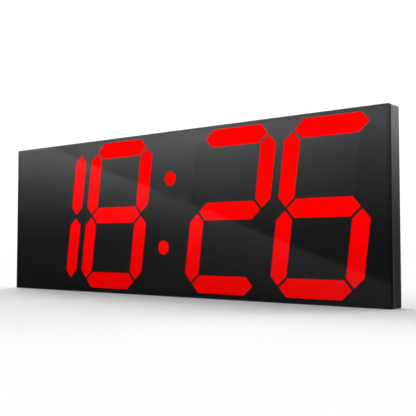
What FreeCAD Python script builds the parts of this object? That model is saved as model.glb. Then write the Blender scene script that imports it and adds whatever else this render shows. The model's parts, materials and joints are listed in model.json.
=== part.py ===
"""Wall and floor standing round timer: a slim case with four slanted six-inch LED digits and a colon.

Units are millimetres. +X runs to the right as seen from the front, +Y to the back and +Z up.
The origin is the centre of the footprint on the surface that the timer stands on, so the front
face is at -Y and the back cover at +Y.
"""

import math
import os

import FreeCAD
import Part

V = FreeCAD.Vector

# ---- case envelope ------------------------------------------------------------------------------
CASE_WIDTH = 475.0
CASE_HEIGHT = 162.0
CASE_DEPTH = 18.0
CORNER_RADIUS = 1.2
FRONT = -CASE_DEPTH / 2
BACK = CASE_DEPTH / 2
HALF_WIDTH = CASE_WIDTH / 2

# ---- layers from the front to the back ----------------------------------------------------------
LENS_THICKNESS = 2.5
LENS_EDGE_CHAMFER = 0.4
MASK_THICKNESS = 0.15
TAPE_THICKNESS = 0.15
INSERT_THICKNESS = 1.2
BOARD_THICKNESS = 1.6
COVER_THICKNESS = 2.0
LENS_BACK = FRONT + LENS_THICKNESS
MASK_BACK = LENS_BACK + MASK_THICKNESS
RAIL_FRONT = MASK_BACK + TAPE_THICKNESS
BLOCK_FRONT = MASK_BACK + 0.05
INSERT_FRONT = BLOCK_FRONT + 0.05
BOARD_FRONT = 0.2
BOARD_BACK = BOARD_FRONT + BOARD_THICKNESS
COVER_FRONT = BACK - COVER_THICKNESS

# ---- extruded frame -----------------------------------------------------------------------------
RAIL_WALL = 1.6
LENS_FLANGE = 2.2
LENS_FLANGE_THICKNESS = 1.2
BOARD_LEDGE = 7.0
LEDGE_THICKNESS = 1.4
COVER_LEDGE = 6.5
RAIL_FRONT_CHAMFER = 0.3
RAIL_BACK_CHAMFER = 0.5
MITRE_DEPTH = 9.0
KEY_THICKNESS = 2.2
KEY_WIDTH = 5.6
KEY_LEG = 26.0
KEY_SCREW_OFFSET = 18.0
KEY_SCREW_RADIUS = 1.5

# ---- digits -------------------------------------------------------------------------------------
DIGIT_HEIGHT = 153.6
DIGIT_MIDDLE = 81.6
SEGMENT_THICKNESS = 16.6
SEGMENT_GAP = 2.3
STROKE_SPACING = 74.1
SLANT = 0.126
DIGIT_PITCH = 99.0
MIDDLE_GAP = 149.2
ARRAY_CENTRE = 1.5
COLON_X = -0.7
COLON_RISE = 34.0
DOT_RADIUS = 7.0
INSERT_MARGIN = 0.4
CAVITY_MARGIN = 0.45
BLOCK_HALF_WIDTH = 48.6
BLOCK_BOTTOM = 2.5
BLOCK_TOP = 159.6
SEGMENTS_SHOWN = {1: "bc", 2: "abcdefg", 3: "abged", 4: "afgecd"}
LEDS_PER_SEGMENT = 4
LED_WIDTH = 2.8
LED_LENGTH = 3.5
LED_HEIGHT = 0.8
BLOCK_SCREW_X = 41.0
BLOCK_SCREW_Z = 71.0
BLOCK_SCREW_RADIUS = 1.1

# ---- boards -------------------------------------------------------------------------------------
BOARD_EDGE = 2.3
BOARD_SPLIT = 0.3
CONTROL_BOARD_BOTTOM = 36.0

# ---- back cover features ------------------------------------------------------------------------
COVER_GAP = 0.15
COVER_SCREW_INSET = 4.6
COVER_SCREW_RADIUS = 1.25
COVER_SCREW_HEAD = 2.3
HANG_X = 150.0
HANG_Z = 130.0
HANG_HEAD_RADIUS = 4.5
HANG_SLOT_RADIUS = 2.2
HANG_SLOT_RISE = 10.0
HANG_PLATE_THICKNESS = 1.2
FOOT_X = 150.0
FOOT_THICKNESS = 4.4
FOOT_WIDTH = 14.0
FOOT_TIP_Z = 60.0
FOOT_PIVOT_Y = 6.6
FOOT_PIVOT_Z = 2.25
FOOT_PIN_RADIUS = 1.0
FOOT_CLEARANCE = 0.2
WELL_WALL = 2.0
WELL_FLOOR = 1.2
BUTTON_Z = 112.0
BUTTON_PITCH = 10.0
BUTTON_RADIUS = 3.4
BUTTON_FLANGE_RADIUS = 4.2
BUTTON_TRAVEL = 0.5
BUZZER_X = 0.0
BUZZER_Z = 138.0
BUZZER_RADIUS = 6.0
BATTERY_Z = 76.0
CELL_RADIUS = 10.0
DOOR_WIDTH = 28.0
DOOR_BOTTOM = 61.5
DOOR_TOP = 90.5
DOOR_HINGE_Y = 7.85
DOOR_HINGE_RADIUS = 1.0
JACK_Y = 1.4
JACK_Z = 19.5
JACK_WALL_X = -15.0
RECESS_END_X = 15.5
RECESS_HALF_HEIGHT = 6.5
RECESS_FLOOR_Y = -4.0
RECESS_WALL = 1.4
POWER_PLUG_Z = 41.0
CABLE_X = 11.0
CABLE_GROOVE = 6.0
CABLE_GROOVE_FLOOR_Y = 4.0


def box(x0, x1, y0, y1, z0, z1):
    """A box between the given limits."""
    return Part.makeBox(x1 - x0, y1 - y0, z1 - z0, V(x0, y0, z0))


def cylinder_x(y, z, radius, x0, x1):
    return Part.makeCylinder(radius, x1 - x0, V(x0, y, z), V(1, 0, 0))


def cylinder_y(x, z, radius, y0, y1):
    return Part.makeCylinder(radius, y1 - y0, V(x, y0, z), V(0, 1, 0))


def cone_y(x, z, radius0, radius1, y0, y1):
    return Part.makeCone(radius0, radius1, y1 - y0, V(x, y0, z), V(0, 1, 0))


def plate(outline, y0, y1):
    """A flat plate with the outline [(x, z), ...] between two depths."""
    corners = [V(x, y0, z) for x, z in outline]
    wire = Part.makePolygon(corners + corners[:1])
    return Part.Face(wire).extrude(V(0, y1 - y0, 0))


def rounded_plate(half_width, z0, z1, radius, y0, y1):
    """A plate with rounded corners, centred on X."""
    solid = box(-half_width, half_width, y0, y1, z0, z1)
    corners = [e for e in solid.Edges if abs(e.tangentAt(e.FirstParameter).y) > 0.99]
    return solid.makeFillet(radius, corners)


def fuse(shapes):
    first, *rest = shapes
    return first.fuse(rest) if rest else first


def cut(shape, tools):
    return shape.cut(tools)


def save(name, *shapes):
    """Writes one sub-part: a single solid, or a group of separate identical ones."""
    solids = [solid for shape in shapes for solid in shape.Solids]
    for solid in solids:
        assert solid.isValid() and solid.Volume > 0, name
    group = solids[0] if len(solids) == 1 else Part.makeCompound(solids)
    group.exportStep(os.path.join("parts", name + ".step"))
    print(f"{name}: {len(solids)} solid(s), {sum(s.Volume for s in solids):.1f} mm3")


# ---- digit geometry -----------------------------------------------------------------------------
def slanted(x, z):
    """The place of a point of an upright figure once the figure leans to the right."""
    return x + (z - DIGIT_MIDDLE) * SLANT, z


def digit_centres():
    inner = MIDDLE_GAP / 2
    outer = inner + DIGIT_PITCH
    offsets = (-outer, -inner, inner, outer)
    return {number: ARRAY_CENTRE + offset for number, offset in enumerate(offsets, start=1)}


def segment_axis(letter):
    """The two ends of a segment's centreline in an upright digit, about the digit's centre."""
    half = STROKE_SPACING / 2
    rise = (DIGIT_HEIGHT - SEGMENT_THICKNESS) / 2
    ends = {
        "a": ((-half, rise), (half, rise)),
        "g": ((-half, 0), (half, 0)),
        "d": ((-half, -rise), (half, -rise)),
        "f": ((-half, 0), (-half, rise)),
        "b": ((half, 0), (half, rise)),
        "e": ((-half, -rise), (-half, 0)),
        "c": ((half, -rise), (half, 0)),
    }
    return ends[letter]


def segment_outline(letter, centre_x, margin=0.0):
    """The six corners of a segment that is pointed at both ends, grown by a margin."""
    (x0, z0), (x1, z1) = segment_axis(letter)
    half = SEGMENT_THICKNESS / 2 + margin
    tip = (SEGMENT_GAP / 2 - margin) * math.sqrt(2)
    along_x = x1 != x0
    length = (x1 - x0) if along_x else (z1 - z0)
    profile = [
        (tip, 0),
        (tip + half, half),
        (length - tip - half, half),
        (length - tip, 0),
        (length - tip - half, -half),
        (tip + half, -half),
    ]
    corners = []
    for along, across in profile:
        x, z = (x0 + along, z0 + across) if along_x else (x0 + across, z0 + along)
        corners.append(slanted(centre_x + x, DIGIT_MIDDLE + z))
    return corners


def segment_points(letter, centre_x, count):
    """Evenly spaced places along a segment's centreline, for its LEDs."""
    (x0, z0), (x1, z1) = segment_axis(letter)
    points = []
    for index in range(count):
        share = (index + 1) / (count + 1)
        x = centre_x + x0 + (x1 - x0) * share
        z = DIGIT_MIDDLE + z0 + (z1 - z0) * share
        points.append(slanted(x, z))
    return points


def colon_points():
    return [slanted(COLON_X, DIGIT_MIDDLE + rise) for rise in (COLON_RISE, -COLON_RISE)]


def slanted_plate(x0, x1, z0, z1, y0, y1):
    """A plate whose left and right edges lean like the digits."""
    outline = [slanted(x0, z0), slanted(x1, z0), slanted(x1, z1), slanted(x0, z1)]
    return plate(outline, y0, y1)


# ---- front --------------------------------------------------------------------------------------
def front_lens():
    lens = rounded_plate(HALF_WIDTH, 0, CASE_HEIGHT, CORNER_RADIUS, FRONT, LENS_BACK)
    rim = [e for e in lens.Edges if abs(e.BoundBox.YMax - FRONT) < 0.01]
    return lens.makeChamfer(LENS_EDGE_CHAMFER, rim)


def lens_tape():
    outer_inset, inner_inset = 0.5, LENS_FLANGE - 0.1
    ring = box(
        -HALF_WIDTH + outer_inset, HALF_WIDTH - outer_inset,
        MASK_BACK, RAIL_FRONT, outer_inset, CASE_HEIGHT - outer_inset,
    )
    hole = box(
        -HALF_WIDTH + inner_inset, HALF_WIDTH - inner_inset,
        LENS_BACK - 1, RAIL_FRONT + 1, inner_inset, CASE_HEIGHT - inner_inset,
    )
    return ring.cut(hole)


def mask_film():
    """Black film behind the lens, with one window for each segment and each colon dot."""
    inset = 0.3
    film = box(
        -HALF_WIDTH + inset, HALF_WIDTH - inset,
        LENS_BACK, MASK_BACK, inset, CASE_HEIGHT - inset,
    )
    windows = [
        plate(segment_outline(letter, centre_x), LENS_BACK - 1, MASK_BACK + 1)
        for centre_x in digit_centres().values()
        for letter in "abcdefg"
    ]
    windows += [cylinder_y(x, z, DOT_RADIUS, LENS_BACK - 1, MASK_BACK + 1) for x, z in colon_points()]
    return cut(film, windows)


# ---- frame --------------------------------------------------------------------------------------
def rail_section():
    """Corners of the extrusion as (distance in from the outside face, depth)."""
    key_slot_front = BOARD_BACK + LEDGE_THICKNESS
    key_slot_back = COVER_FRONT - LEDGE_THICKNESS
    return [
        (RAIL_FRONT_CHAMFER, RAIL_FRONT),
        (LENS_FLANGE, RAIL_FRONT),
        (LENS_FLANGE, RAIL_FRONT + LENS_FLANGE_THICKNESS),
        (RAIL_WALL, RAIL_FRONT + LENS_FLANGE_THICKNESS),
        (RAIL_WALL, BOARD_BACK),
        (BOARD_LEDGE, BOARD_BACK),
        (BOARD_LEDGE, key_slot_front),
        (RAIL_WALL, key_slot_front),
        (RAIL_WALL, key_slot_back),
        (COVER_LEDGE, key_slot_back),
        (COVER_LEDGE, COVER_FRONT),
        (RAIL_WALL, COVER_FRONT),
        (RAIL_WALL, BACK),
        (RAIL_BACK_CHAMFER, BACK),
        (0, BACK - RAIL_BACK_CHAMFER),
        (0, RAIL_FRONT + RAIL_FRONT_CHAMFER),
    ]


def extruded_rail(start, inward, along, length):
    """The section swept in a straight line from start; inward points to the middle of the case."""
    corners = [start + inward * depth + V(0, y, 0) for depth, y in rail_section()]
    wire = Part.makePolygon(corners + corners[:1])
    return Part.Face(wire).extrude(along * length)


def frame_rails():
    """Four mitred rails: the extrusions trimmed to the wedge that each owns."""
    m = MITRE_DEPTH
    w, h = HALF_WIDTH, CASE_HEIGHT
    wedges = {
        "top_rail": [(-w, h), (w, h), (w - m, h - m), (-w + m, h - m)],
        "bottom_rail": [(-w, 0), (w, 0), (w - m, m), (-w + m, m)],
        "left_rail": [(-w, 0), (-w, h), (-w + m, h - m), (-w + m, m)],
        "right_rail": [(w, 0), (w, h), (w - m, h - m), (w - m, m)],
    }
    runs = {
        "top_rail": (V(-w, 0, h), V(0, 0, -1), V(1, 0, 0), CASE_WIDTH),
        "bottom_rail": (V(-w, 0, 0), V(0, 0, 1), V(1, 0, 0), CASE_WIDTH),
        "left_rail": (V(-w, 0, 0), V(1, 0, 0), V(0, 0, 1), CASE_HEIGHT),
        "right_rail": (V(w, 0, 0), V(-1, 0, 0), V(0, 0, 1), CASE_HEIGHT),
    }
    envelope = rounded_plate(w, 0, h, CORNER_RADIUS, RAIL_FRONT - 1, BACK + 1)
    rails = {}
    for name, run in runs.items():
        wedge = plate(wedges[name], RAIL_FRONT - 1, BACK + 1)
        rails[name] = extruded_rail(*run).common(wedge).common(envelope)
    return rails


def cover_screw_places():
    low, high = COVER_SCREW_INSET, CASE_HEIGHT - COVER_SCREW_INSET
    side = HALF_WIDTH - COVER_SCREW_INSET
    places = [(x, z) for z in (low, high) for x in (-200.0, -70.0, 70.0, 200.0)]
    return places + [(-side, CASE_HEIGHT / 2), (side, CASE_HEIGHT / 2)]


def key_screw_places():
    inset = COVER_SCREW_INSET
    w, h, reach = HALF_WIDTH, CASE_HEIGHT, KEY_SCREW_OFFSET
    places = []
    for side in (-1, 1):
        for z in (inset, h - inset):
            places.append((side * (w - reach), z))
        for z in (reach, h - reach):
            places.append((side * (w - inset), z))
    return places


def foot_places():
    return {"left": -FOOT_X, "right": FOOT_X}


def drilled_rails():
    """The rails with their screw holes, the notches for the feet and the cable exit."""
    tools = [
        cylinder_y(x, z, COVER_SCREW_RADIUS + 0.05, BOARD_BACK + LEDGE_THICKNESS, COVER_FRONT + 1)
        for x, z in cover_screw_places()
    ]
    tools += [
        cylinder_y(x, z, KEY_SCREW_RADIUS + 0.05, BOARD_BACK + LEDGE_THICKNESS, COVER_FRONT + 1)
        for x, z in key_screw_places()
    ]
    foot_half = FOOT_WIDTH / 2 + FOOT_CLEARANCE + WELL_WALL + 0.2
    groove_half = CABLE_GROOVE / 2 + RECESS_WALL + 0.2
    notches = [(x, foot_half) for x in foot_places().values()] + [(CABLE_X, groove_half)]
    tools += [box(x - half, x + half, BOARD_BACK, BACK + 1, -1, MITRE_DEPTH) for x, half in notches]
    return {name: cut(rail, tools) for name, rail in frame_rails().items()}


def corner_keys():
    """Flat L-shaped steel keys that lie in the slot between the two ledges and tie the mitres."""
    front = BOARD_BACK + LEDGE_THICKNESS + 0.1
    back = front + KEY_THICKNESS
    near = RAIL_WALL + 0.15
    far = near + KEY_WIDTH
    keys = []
    for side in (-1, 1):
        for z_edge, up in ((0, 1), (CASE_HEIGHT, -1)):
            outline = [
                (near, near), (near + KEY_LEG, near), (near + KEY_LEG, far),
                (far, far), (far, near + KEY_LEG), (near, near + KEY_LEG),
            ]
            placed = [(side * (HALF_WIDTH - dx), z_edge + up * dz) for dx, dz in outline]
            keys.append(plate(placed, front, back))
    holes = [
        cylinder_y(x, z, KEY_SCREW_RADIUS + 0.05, front - 1, back + 1) for x, z in key_screw_places()
    ]
    return [cut(key, holes) for key in keys]


def key_screws():
    """Grub screws with a hexagon socket, flush with the cover ledge."""
    front = BOARD_BACK + LEDGE_THICKNESS + 0.15
    back = COVER_FRONT - 0.1
    screws = []
    for x, z in key_screw_places():
        body = cylinder_y(x, z, KEY_SCREW_RADIUS, front, back)
        socket = plate(polygon(x, z, 0.85, 6), back - 1.4, back + 1)
        screws.append(body.cut(socket))
    return screws


def polygon(x, z, radius, sides, turn=0.0):
    """Corners of a regular polygon in the XZ plane."""
    angles = [turn + 2 * math.pi * k / sides for k in range(sides)]
    return [(x + radius * math.cos(a), z + radius * math.sin(a)) for a in angles]


# ---- digit modules ------------------------------------------------------------------------------
def block_screw_places(centre_x):
    return [
        slanted(centre_x + sx * BLOCK_SCREW_X, DIGIT_MIDDLE + sz * BLOCK_SCREW_Z)
        for sx in (-1, 1)
        for sz in (-1, 1)
    ]


def reflector_block(centre_x):
    """Black moulded block with one straight-walled light chamber for each segment."""
    block = slanted_plate(
        centre_x - BLOCK_HALF_WIDTH, centre_x + BLOCK_HALF_WIDTH,
        BLOCK_BOTTOM, BLOCK_TOP, BLOCK_FRONT, BOARD_FRONT,
    )
    chambers = [
        plate(segment_outline(letter, centre_x, CAVITY_MARGIN), BLOCK_FRONT - 1, BOARD_FRONT + 1)
        for letter in "abcdefg"
    ]
    holes = [
        cylinder_y(x, z, BLOCK_SCREW_RADIUS + 0.05, BOARD_FRONT - 4.5, BOARD_FRONT + 1)
        for x, z in block_screw_places(centre_x)
    ]
    return cut(block, chambers + holes)


def light_inserts(centre_x, letters):
    """Diffusing light windows that close the front of the chambers."""
    return [
        plate(
            segment_outline(letter, centre_x, INSERT_MARGIN),
            INSERT_FRONT, INSERT_FRONT + INSERT_THICKNESS,
        )
        for letter in letters
    ]


def led_chips(points):
    return [
        box(x - LED_WIDTH / 2, x + LED_WIDTH / 2, BOARD_FRONT - LED_HEIGHT, BOARD_FRONT,
            z - LED_LENGTH / 2, z + LED_LENGTH / 2)
        for x, z in points
    ]


def digit_leds(numbers):
    points = []
    for number in numbers:
        for letter in "abcdefg":
            points += segment_points(letter, digit_centres()[number], LEDS_PER_SEGMENT)
    return led_chips(points)


def block_screws():
    """Pan-head screws that hold the blocks to the boards, with a cross slot each."""
    screws = []
    for centre_x in digit_centres().values():
        for x, z in block_screw_places(centre_x):
            shank = cylinder_y(x, z, BLOCK_SCREW_RADIUS, BOARD_FRONT - 4.2, BOARD_BACK)
            head = cylinder_y(x, z, 1.9, BOARD_BACK, BOARD_BACK + 1.1)
            slot = box(x - 1.3, x + 1.3, BOARD_BACK + 0.6, BOARD_BACK + 2, z - 0.25, z + 0.25)
            screws.append(shank.fuse(head).cut(slot))
    return screws


def colon_block():
    block = slanted_plate(
        COLON_X - 13, COLON_X + 13, CONTROL_BOARD_BOTTOM + 0.5, 127.0, BLOCK_FRONT, BOARD_FRONT
    )
    chambers = [
        cylinder_y(x, z, DOT_RADIUS + CAVITY_MARGIN, BLOCK_FRONT - 1, BOARD_FRONT + 1)
        for x, z in colon_points()
    ]
    return cut(block, chambers)


def colon_dots():
    return [
        cylinder_y(x, z, DOT_RADIUS + INSERT_MARGIN, INSERT_FRONT, INSERT_FRONT + INSERT_THICKNESS)
        for x, z in colon_points()
    ]


# ---- boards -------------------------------------------------------------------------------------
def board_splits():
    """Upright x positions of the two slanted gaps between the three boards."""
    centres = digit_centres()
    return centres[2] + DIGIT_PITCH / 2, centres[3] - DIGIT_PITCH / 2


def display_board(side):
    """Circuit board behind two digits; its inner edge leans like the digits."""
    z0, z1 = BOARD_EDGE, CASE_HEIGHT - BOARD_EDGE
    outer = HALF_WIDTH - BOARD_EDGE
    left_split, right_split = board_splits()
    if side == "left":
        edge = left_split - BOARD_SPLIT
        outline = [(-outer, z0), slanted(edge, z0), slanted(edge, z1), (-outer, z1)]
        numbers = (1, 2)
    else:
        edge = right_split + BOARD_SPLIT
        outline = [slanted(edge, z0), (outer, z0), (outer, z1), slanted(edge, z1)]
        numbers = (3, 4)
    holes = [
        cylinder_y(x, z, BLOCK_SCREW_RADIUS + 0.1, BOARD_FRONT - 1, BOARD_BACK + 1)
        for number in numbers
        for x, z in block_screw_places(digit_centres()[number])
    ]
    return cut(plate(outline, BOARD_FRONT, BOARD_BACK), holes)


def control_board():
    left_split, right_split = board_splits()
    return slanted_plate(
        left_split + BOARD_SPLIT, right_split - BOARD_SPLIT,
        CONTROL_BOARD_BOTTOM, CASE_HEIGHT - BOARD_EDGE, BOARD_FRONT, BOARD_BACK,
    )


def board_links():
    """Low connectors that bridge the two gaps between the boards."""
    links = []
    for split in board_splits():
        x, z = slanted(split, 60.0)
        links.append(box(x - 5, x + 5, BOARD_BACK, BOARD_BACK + 2.4, z - 7, z + 7))
    return links


def driver_chips():
    return [
        box(x - 3.8, x + 3.8, BOARD_BACK, BOARD_BACK + 2.1, 91.0, 107.0)
        for x in digit_centres().values()
    ]


def led_resistors():
    """Chip resistors in a column on each side of every driver chip."""
    made = []
    for centre_x in digit_centres().values():
        for x in (centre_x - 6.5, centre_x + 6.5):
            made += [
                box(x - 1.0, x + 1.0, BOARD_BACK, BOARD_BACK + 0.55, z - 0.6, z + 0.6)
                for z in (92.5 + 2.2 * k for k in range(7))
            ]
    return made


def smoothing_capacitors():
    return [cylinder_y(x, 46.0, 3.15, BOARD_BACK, BOARD_BACK + 4.6) for x in (-15.0, 17.0)]


def tact_switches():
    """Square switch bodies with the well that the plunger sinks into."""
    switches = []
    for x in button_places().values():
        body = box(x - 3, x + 3, BOARD_BACK, BOARD_BACK + 3.4, BUTTON_Z - 3, BUTTON_Z + 3)
        well = cylinder_y(x, BUTTON_Z, 1.8, BOARD_BACK + 1.0, BOARD_BACK + 4)
        switches.append(body.cut(well))
    return switches


def buzzer():
    can = cylinder_y(BUZZER_X, BUZZER_Z, BUZZER_RADIUS, BOARD_BACK, BOARD_BACK + 4.2)
    port = cylinder_y(BUZZER_X, BUZZER_Z, 1.0, BOARD_BACK + 2.5, BOARD_BACK + 5)
    return can.cut(port)


def cell_holder():
    """Open-fronted holder: a shallow cup with a gap at the top for a fingertip."""
    front, back = BOARD_BACK, BOARD_BACK + 4.4
    body = box(-12, 12, front, back, BATTERY_Z - 12, BATTERY_Z + 12)
    cup = cylinder_y(0, BATTERY_Z, CELL_RADIUS + 0.25, front + 0.8, back + 1)
    finger = box(-4, 4, front + 0.8, back + 1, BATTERY_Z + 6, BATTERY_Z + 13)
    return cut(body, [cup, finger])


def coin_cell():
    """Cell with the small step between its can and its cap."""
    front = BOARD_BACK + 0.85
    cap = cylinder_y(0, BATTERY_Z, CELL_RADIUS - 1.2, front, front + 0.5)
    can = cylinder_y(0, BATTERY_Z, CELL_RADIUS, front + 0.5, front + 3.2)
    return cap.fuse(can)


def infrared_receiver():
    """Remote-control receiver on the front of the control board, above the colon."""
    x, z = slanted(COLON_X, 140.0)
    body = box(x - 3, x + 3, BOARD_FRONT - 4.6, BOARD_FRONT, z - 3.5, z + 3.5)
    dome = Part.makeSphere(2.2, V(x, BOARD_FRONT - 4.6, z)).common(
        box(x - 3, x + 3, BOARD_FRONT - 6.2, BOARD_FRONT - 4.6, z - 3, z + 3)
    )
    return body.fuse(dome)


# ---- power inlet --------------------------------------------------------------------------------
def jack_body():
    """Panel jack: flanged barrel with a through bore for the plug, and its rear shell."""
    flange = cylinder_x(JACK_Y, JACK_Z, 5.0, JACK_WALL_X, JACK_WALL_X + 1.2)
    barrel = cylinder_x(JACK_Y, JACK_Z, 3.95, JACK_WALL_X - 10.5, JACK_WALL_X)
    bore = cylinder_x(JACK_Y, JACK_Z, 2.85, JACK_WALL_X - 9.0, JACK_WALL_X + 2)
    pin_seat = cylinder_x(JACK_Y, JACK_Z, 0.85, JACK_WALL_X - 11, JACK_WALL_X)
    return cut(flange.fuse(barrel), [bore, pin_seat])


def jack_pin():
    """Centre contact with a rounded nose, and the thinner tail that carries it."""
    pin = cylinder_x(JACK_Y, JACK_Z, 1.0, JACK_WALL_X - 8.95, JACK_WALL_X - 1.0)
    nose = [e for e in pin.Edges if abs(e.BoundBox.XMin - (JACK_WALL_X - 1.0)) < 0.01]
    tail = cylinder_x(JACK_Y, JACK_Z, 0.8, JACK_WALL_X - 12.0, JACK_WALL_X - 8.0)
    return pin.makeFillet(0.5, nose).fuse(tail)


def jack_nut():
    """Thin hexagon nut behind the recess wall."""
    back = JACK_WALL_X - RECESS_WALL
    corners = [V(back - 2.0, JACK_Y + dy, JACK_Z + dz) for dy, dz in polygon(0, 0, 5.6, 6, math.pi / 2)]
    nut = Part.Face(Part.makePolygon(corners + corners[:1])).extrude(V(1.95, 0, 0))
    return nut.cut(cylinder_x(JACK_Y, JACK_Z, 4.0, back - 4, back + 1))


def wire_tube(points, bend, radius):
    """Round wire along straight runs joined by tangent arcs."""
    edges = []
    start = points[0]
    for before, corner, after in zip(points, points[1:], points[2:]):
        into = (corner - before).normalize()
        out = (after - corner).normalize()
        turn = into.getAngle(out)
        reach = bend * math.tan(turn / 2)
        arc_start, arc_end = corner - into * reach, corner + out * reach
        bisector = (out - into).normalize()
        middle = corner + bisector * (bend / math.cos(turn / 2) - bend)
        edges.append(Part.LineSegment(start, arc_start).toShape())
        edges.append(Part.Arc(arc_start, middle, arc_end).toShape())
        start = arc_end
    edges.append(Part.LineSegment(start, points[-1]).toShape())
    path = Part.Wire(edges)
    direction = (points[1] - points[0]).normalize()
    section = Part.Wire(Part.makeCircle(radius, points[0], direction))
    return path.makePipeShell([section], True, False)


def power_connector():
    return box(-26.4, -20.6, BOARD_BACK, BOARD_BACK + 4.0, POWER_PLUG_Z, POWER_PLUG_Z + 5.5)


def power_leads():
    """Two short wires from the jack's back to the plug on the control board."""
    y = JACK_Y + 2.2
    start_x, top_z = JACK_WALL_X - 10.5, POWER_PLUG_Z
    leads = []
    for z, x_up, x_top in ((JACK_Z - 2.0, -29.2, -24.6), (JACK_Z + 2.0, -27.4, -22.4)):
        points = [V(start_x, y, z), V(x_up, y, z), V(x_up, y, 29), V(x_top, y, 36), V(x_top, y, top_z)]
        leads.append(wire_tube(points, 1.6, 0.55))
    return leads


# ---- buttons ------------------------------------------------------------------------------------
def button_places():
    names = ("mode", "up", "down", "start")
    first = 1.5 * BUTTON_PITCH
    return {name: first - BUTTON_PITCH * k for k, name in enumerate(names)}


def button_mark(name, x):
    """The shallow symbol cut into a cap: bars, an up or a down triangle, or a ring."""
    y0, y1 = BACK - 0.55, BACK + 1
    if name == "mode":
        rows = [BUTTON_Z + dz for dz in (-1.2, 0, 1.2)]
        return [box(x - 1.5, x + 1.5, y0, y1, z - 0.3, z + 0.3) for z in rows]
    if name == "start":
        ring = cylinder_y(x, BUTTON_Z, 1.7, y0, y1)
        return [ring.cut(cylinder_y(x, BUTTON_Z, 1.0, y0 - 1, y1 + 1))]
    turn = math.pi / 2 if name == "up" else -math.pi / 2
    return [plate(polygon(x, BUTTON_Z, 1.9, 3, turn), y0, y1)]


def button_cap(name, x):
    """Round cap with the flange that keeps it in and the stem that works the switch."""
    rest = BOARD_BACK + 4.15
    stem = cylinder_y(x, BUTTON_Z, 1.6, BOARD_BACK + 2.0, rest + 0.5)
    flange = cylinder_y(x, BUTTON_Z, BUTTON_FLANGE_RADIUS, rest, rest + 0.9)
    head = cylinder_y(x, BUTTON_Z, BUTTON_RADIUS, rest, BACK - 0.2)
    rim = [e for e in head.Edges if abs(e.BoundBox.YMin - (BACK - 0.2)) < 0.01]
    return cut(fuse([head.makeFillet(0.3, rim), flange, stem]), button_mark(name, x))


# ---- feet ---------------------------------------------------------------------------------------
def foot(x):
    """Flat bar with a rounded root around its pin and finger ridges near the tip."""
    half = FOOT_WIDTH / 2
    radius = FOOT_THICKNESS / 2
    root = cylinder_x(FOOT_PIVOT_Y, FOOT_PIVOT_Z, radius, x - half, x + half)
    front, back = FOOT_PIVOT_Y - radius, FOOT_PIVOT_Y + radius
    bar = box(x - half, x + half, front, back, FOOT_PIVOT_Z, FOOT_TIP_Z)
    tip = [e for e in bar.Edges if abs(e.BoundBox.ZMin - FOOT_TIP_Z) < 0.01 and e.Length > FOOT_WIDTH - 1]
    body = root.fuse(bar.makeFillet(1.2, tip))
    bore = cylinder_x(FOOT_PIVOT_Y, FOOT_PIVOT_Z, FOOT_PIN_RADIUS + 0.05, x - half - 1, x + half + 1)
    ridges = [
        box(x - half - 1, x + half + 1, back - 0.4, back + 1, FOOT_TIP_Z - z, FOOT_TIP_Z - z + 0.8)
        for z in (3.4, 5.2, 7.0)
    ]
    pad_seat = box(x - 5, x + 5, back - 0.8, back + 1, 36.0, 50.0)
    return cut(body, [bore, pad_seat] + ridges)


def foot_pad(x):
    """Soft pad let into the face that becomes the foot's underside."""
    back = FOOT_PIVOT_Y + FOOT_THICKNESS / 2
    return box(x - 4.95, x + 4.95, back - 0.8, back + 0.05, 36.05, 49.95)


def foot_pins():
    reach = FOOT_WIDTH / 2 + FOOT_CLEARANCE + WELL_WALL - 0.2
    return [
        cylinder_x(FOOT_PIVOT_Y, FOOT_PIVOT_Z, FOOT_PIN_RADIUS, x - reach, x + reach)
        for x in foot_places().values()
    ]


# ---- hanging ------------------------------------------------------------------------------------
def keyhole(x, head_radius, slot_radius, y0, y1):
    """Tool shape of a keyhole: a round entry with a narrower slot going up from it."""
    top = HANG_Z + HANG_SLOT_RISE
    entry = cylinder_y(x, HANG_Z, head_radius, y0, y1)
    slot = box(x - slot_radius, x + slot_radius, y0, y1, HANG_Z, top)
    end = cylinder_y(x, top, slot_radius, y0, y1)
    return fuse([entry, slot, end])


def rivet_places():
    return [(x + dx, HANG_Z + 4) for x in (-HANG_X, HANG_X) for dx in (-14.0, 14.0)]


def hang_plates():
    """Steel plates behind the cover that take the load of the wall screws."""
    back = COVER_FRONT - 0.05
    front = back - HANG_PLATE_THICKNESS
    plates = []
    for x in (-HANG_X, HANG_X):
        blank = box(x - 19, x + 19, front, back, HANG_Z - 11, HANG_Z + 19)
        tools = [cylinder_y(rx, rz, 1.55, front - 1, back + 1) for rx, rz in rivet_places()]
        tools.append(keyhole(x, HANG_HEAD_RADIUS, HANG_SLOT_RADIUS, front - 1, back + 1))
        plates.append(cut(blank, tools))
    return plates


def rivets():
    """Rivets with a flush countersunk head outside and a low button inside."""
    inner = COVER_FRONT - 0.05 - HANG_PLATE_THICKNESS
    made = []
    for x, z in rivet_places():
        shank = cylinder_y(x, z, 1.5, inner, BACK - 1.0)
        head = cone_y(x, z, 1.5, 2.4, BACK - 1.0, BACK - 0.05)
        button = cylinder_y(x, z, 2.4, inner - 0.7, inner)
        made.append(fuse([shank, head, button]))
    return made


# ---- back cover ---------------------------------------------------------------------------------
def cover_bosses():
    """Posts that keep the boards against the frame's ledges."""
    half = ((60.0, 26.0), (60.0, 134.0), (205.0, 62.0), (205.0, 122.0))
    places = [(side * x, z) for side in (-1, 1) for x, z in half]
    return [cylinder_y(x, z, 3.0, BOARD_BACK + 0.05, COVER_FRONT + 0.5) for x, z in places]


def door_screw_boss():
    x, z = door_screw_place()
    return cylinder_y(x, z, 2.8, COVER_FRONT - 2.2, COVER_FRONT + 0.5)


def cover_ribs():
    runs = ((-215, -34), (34, 215))
    return [box(x0, x1, 4.8, COVER_FRONT + 0.5, z - 0.7, z + 0.7) for x0, x1 in runs for z in (70.0, 112.0)]


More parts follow.
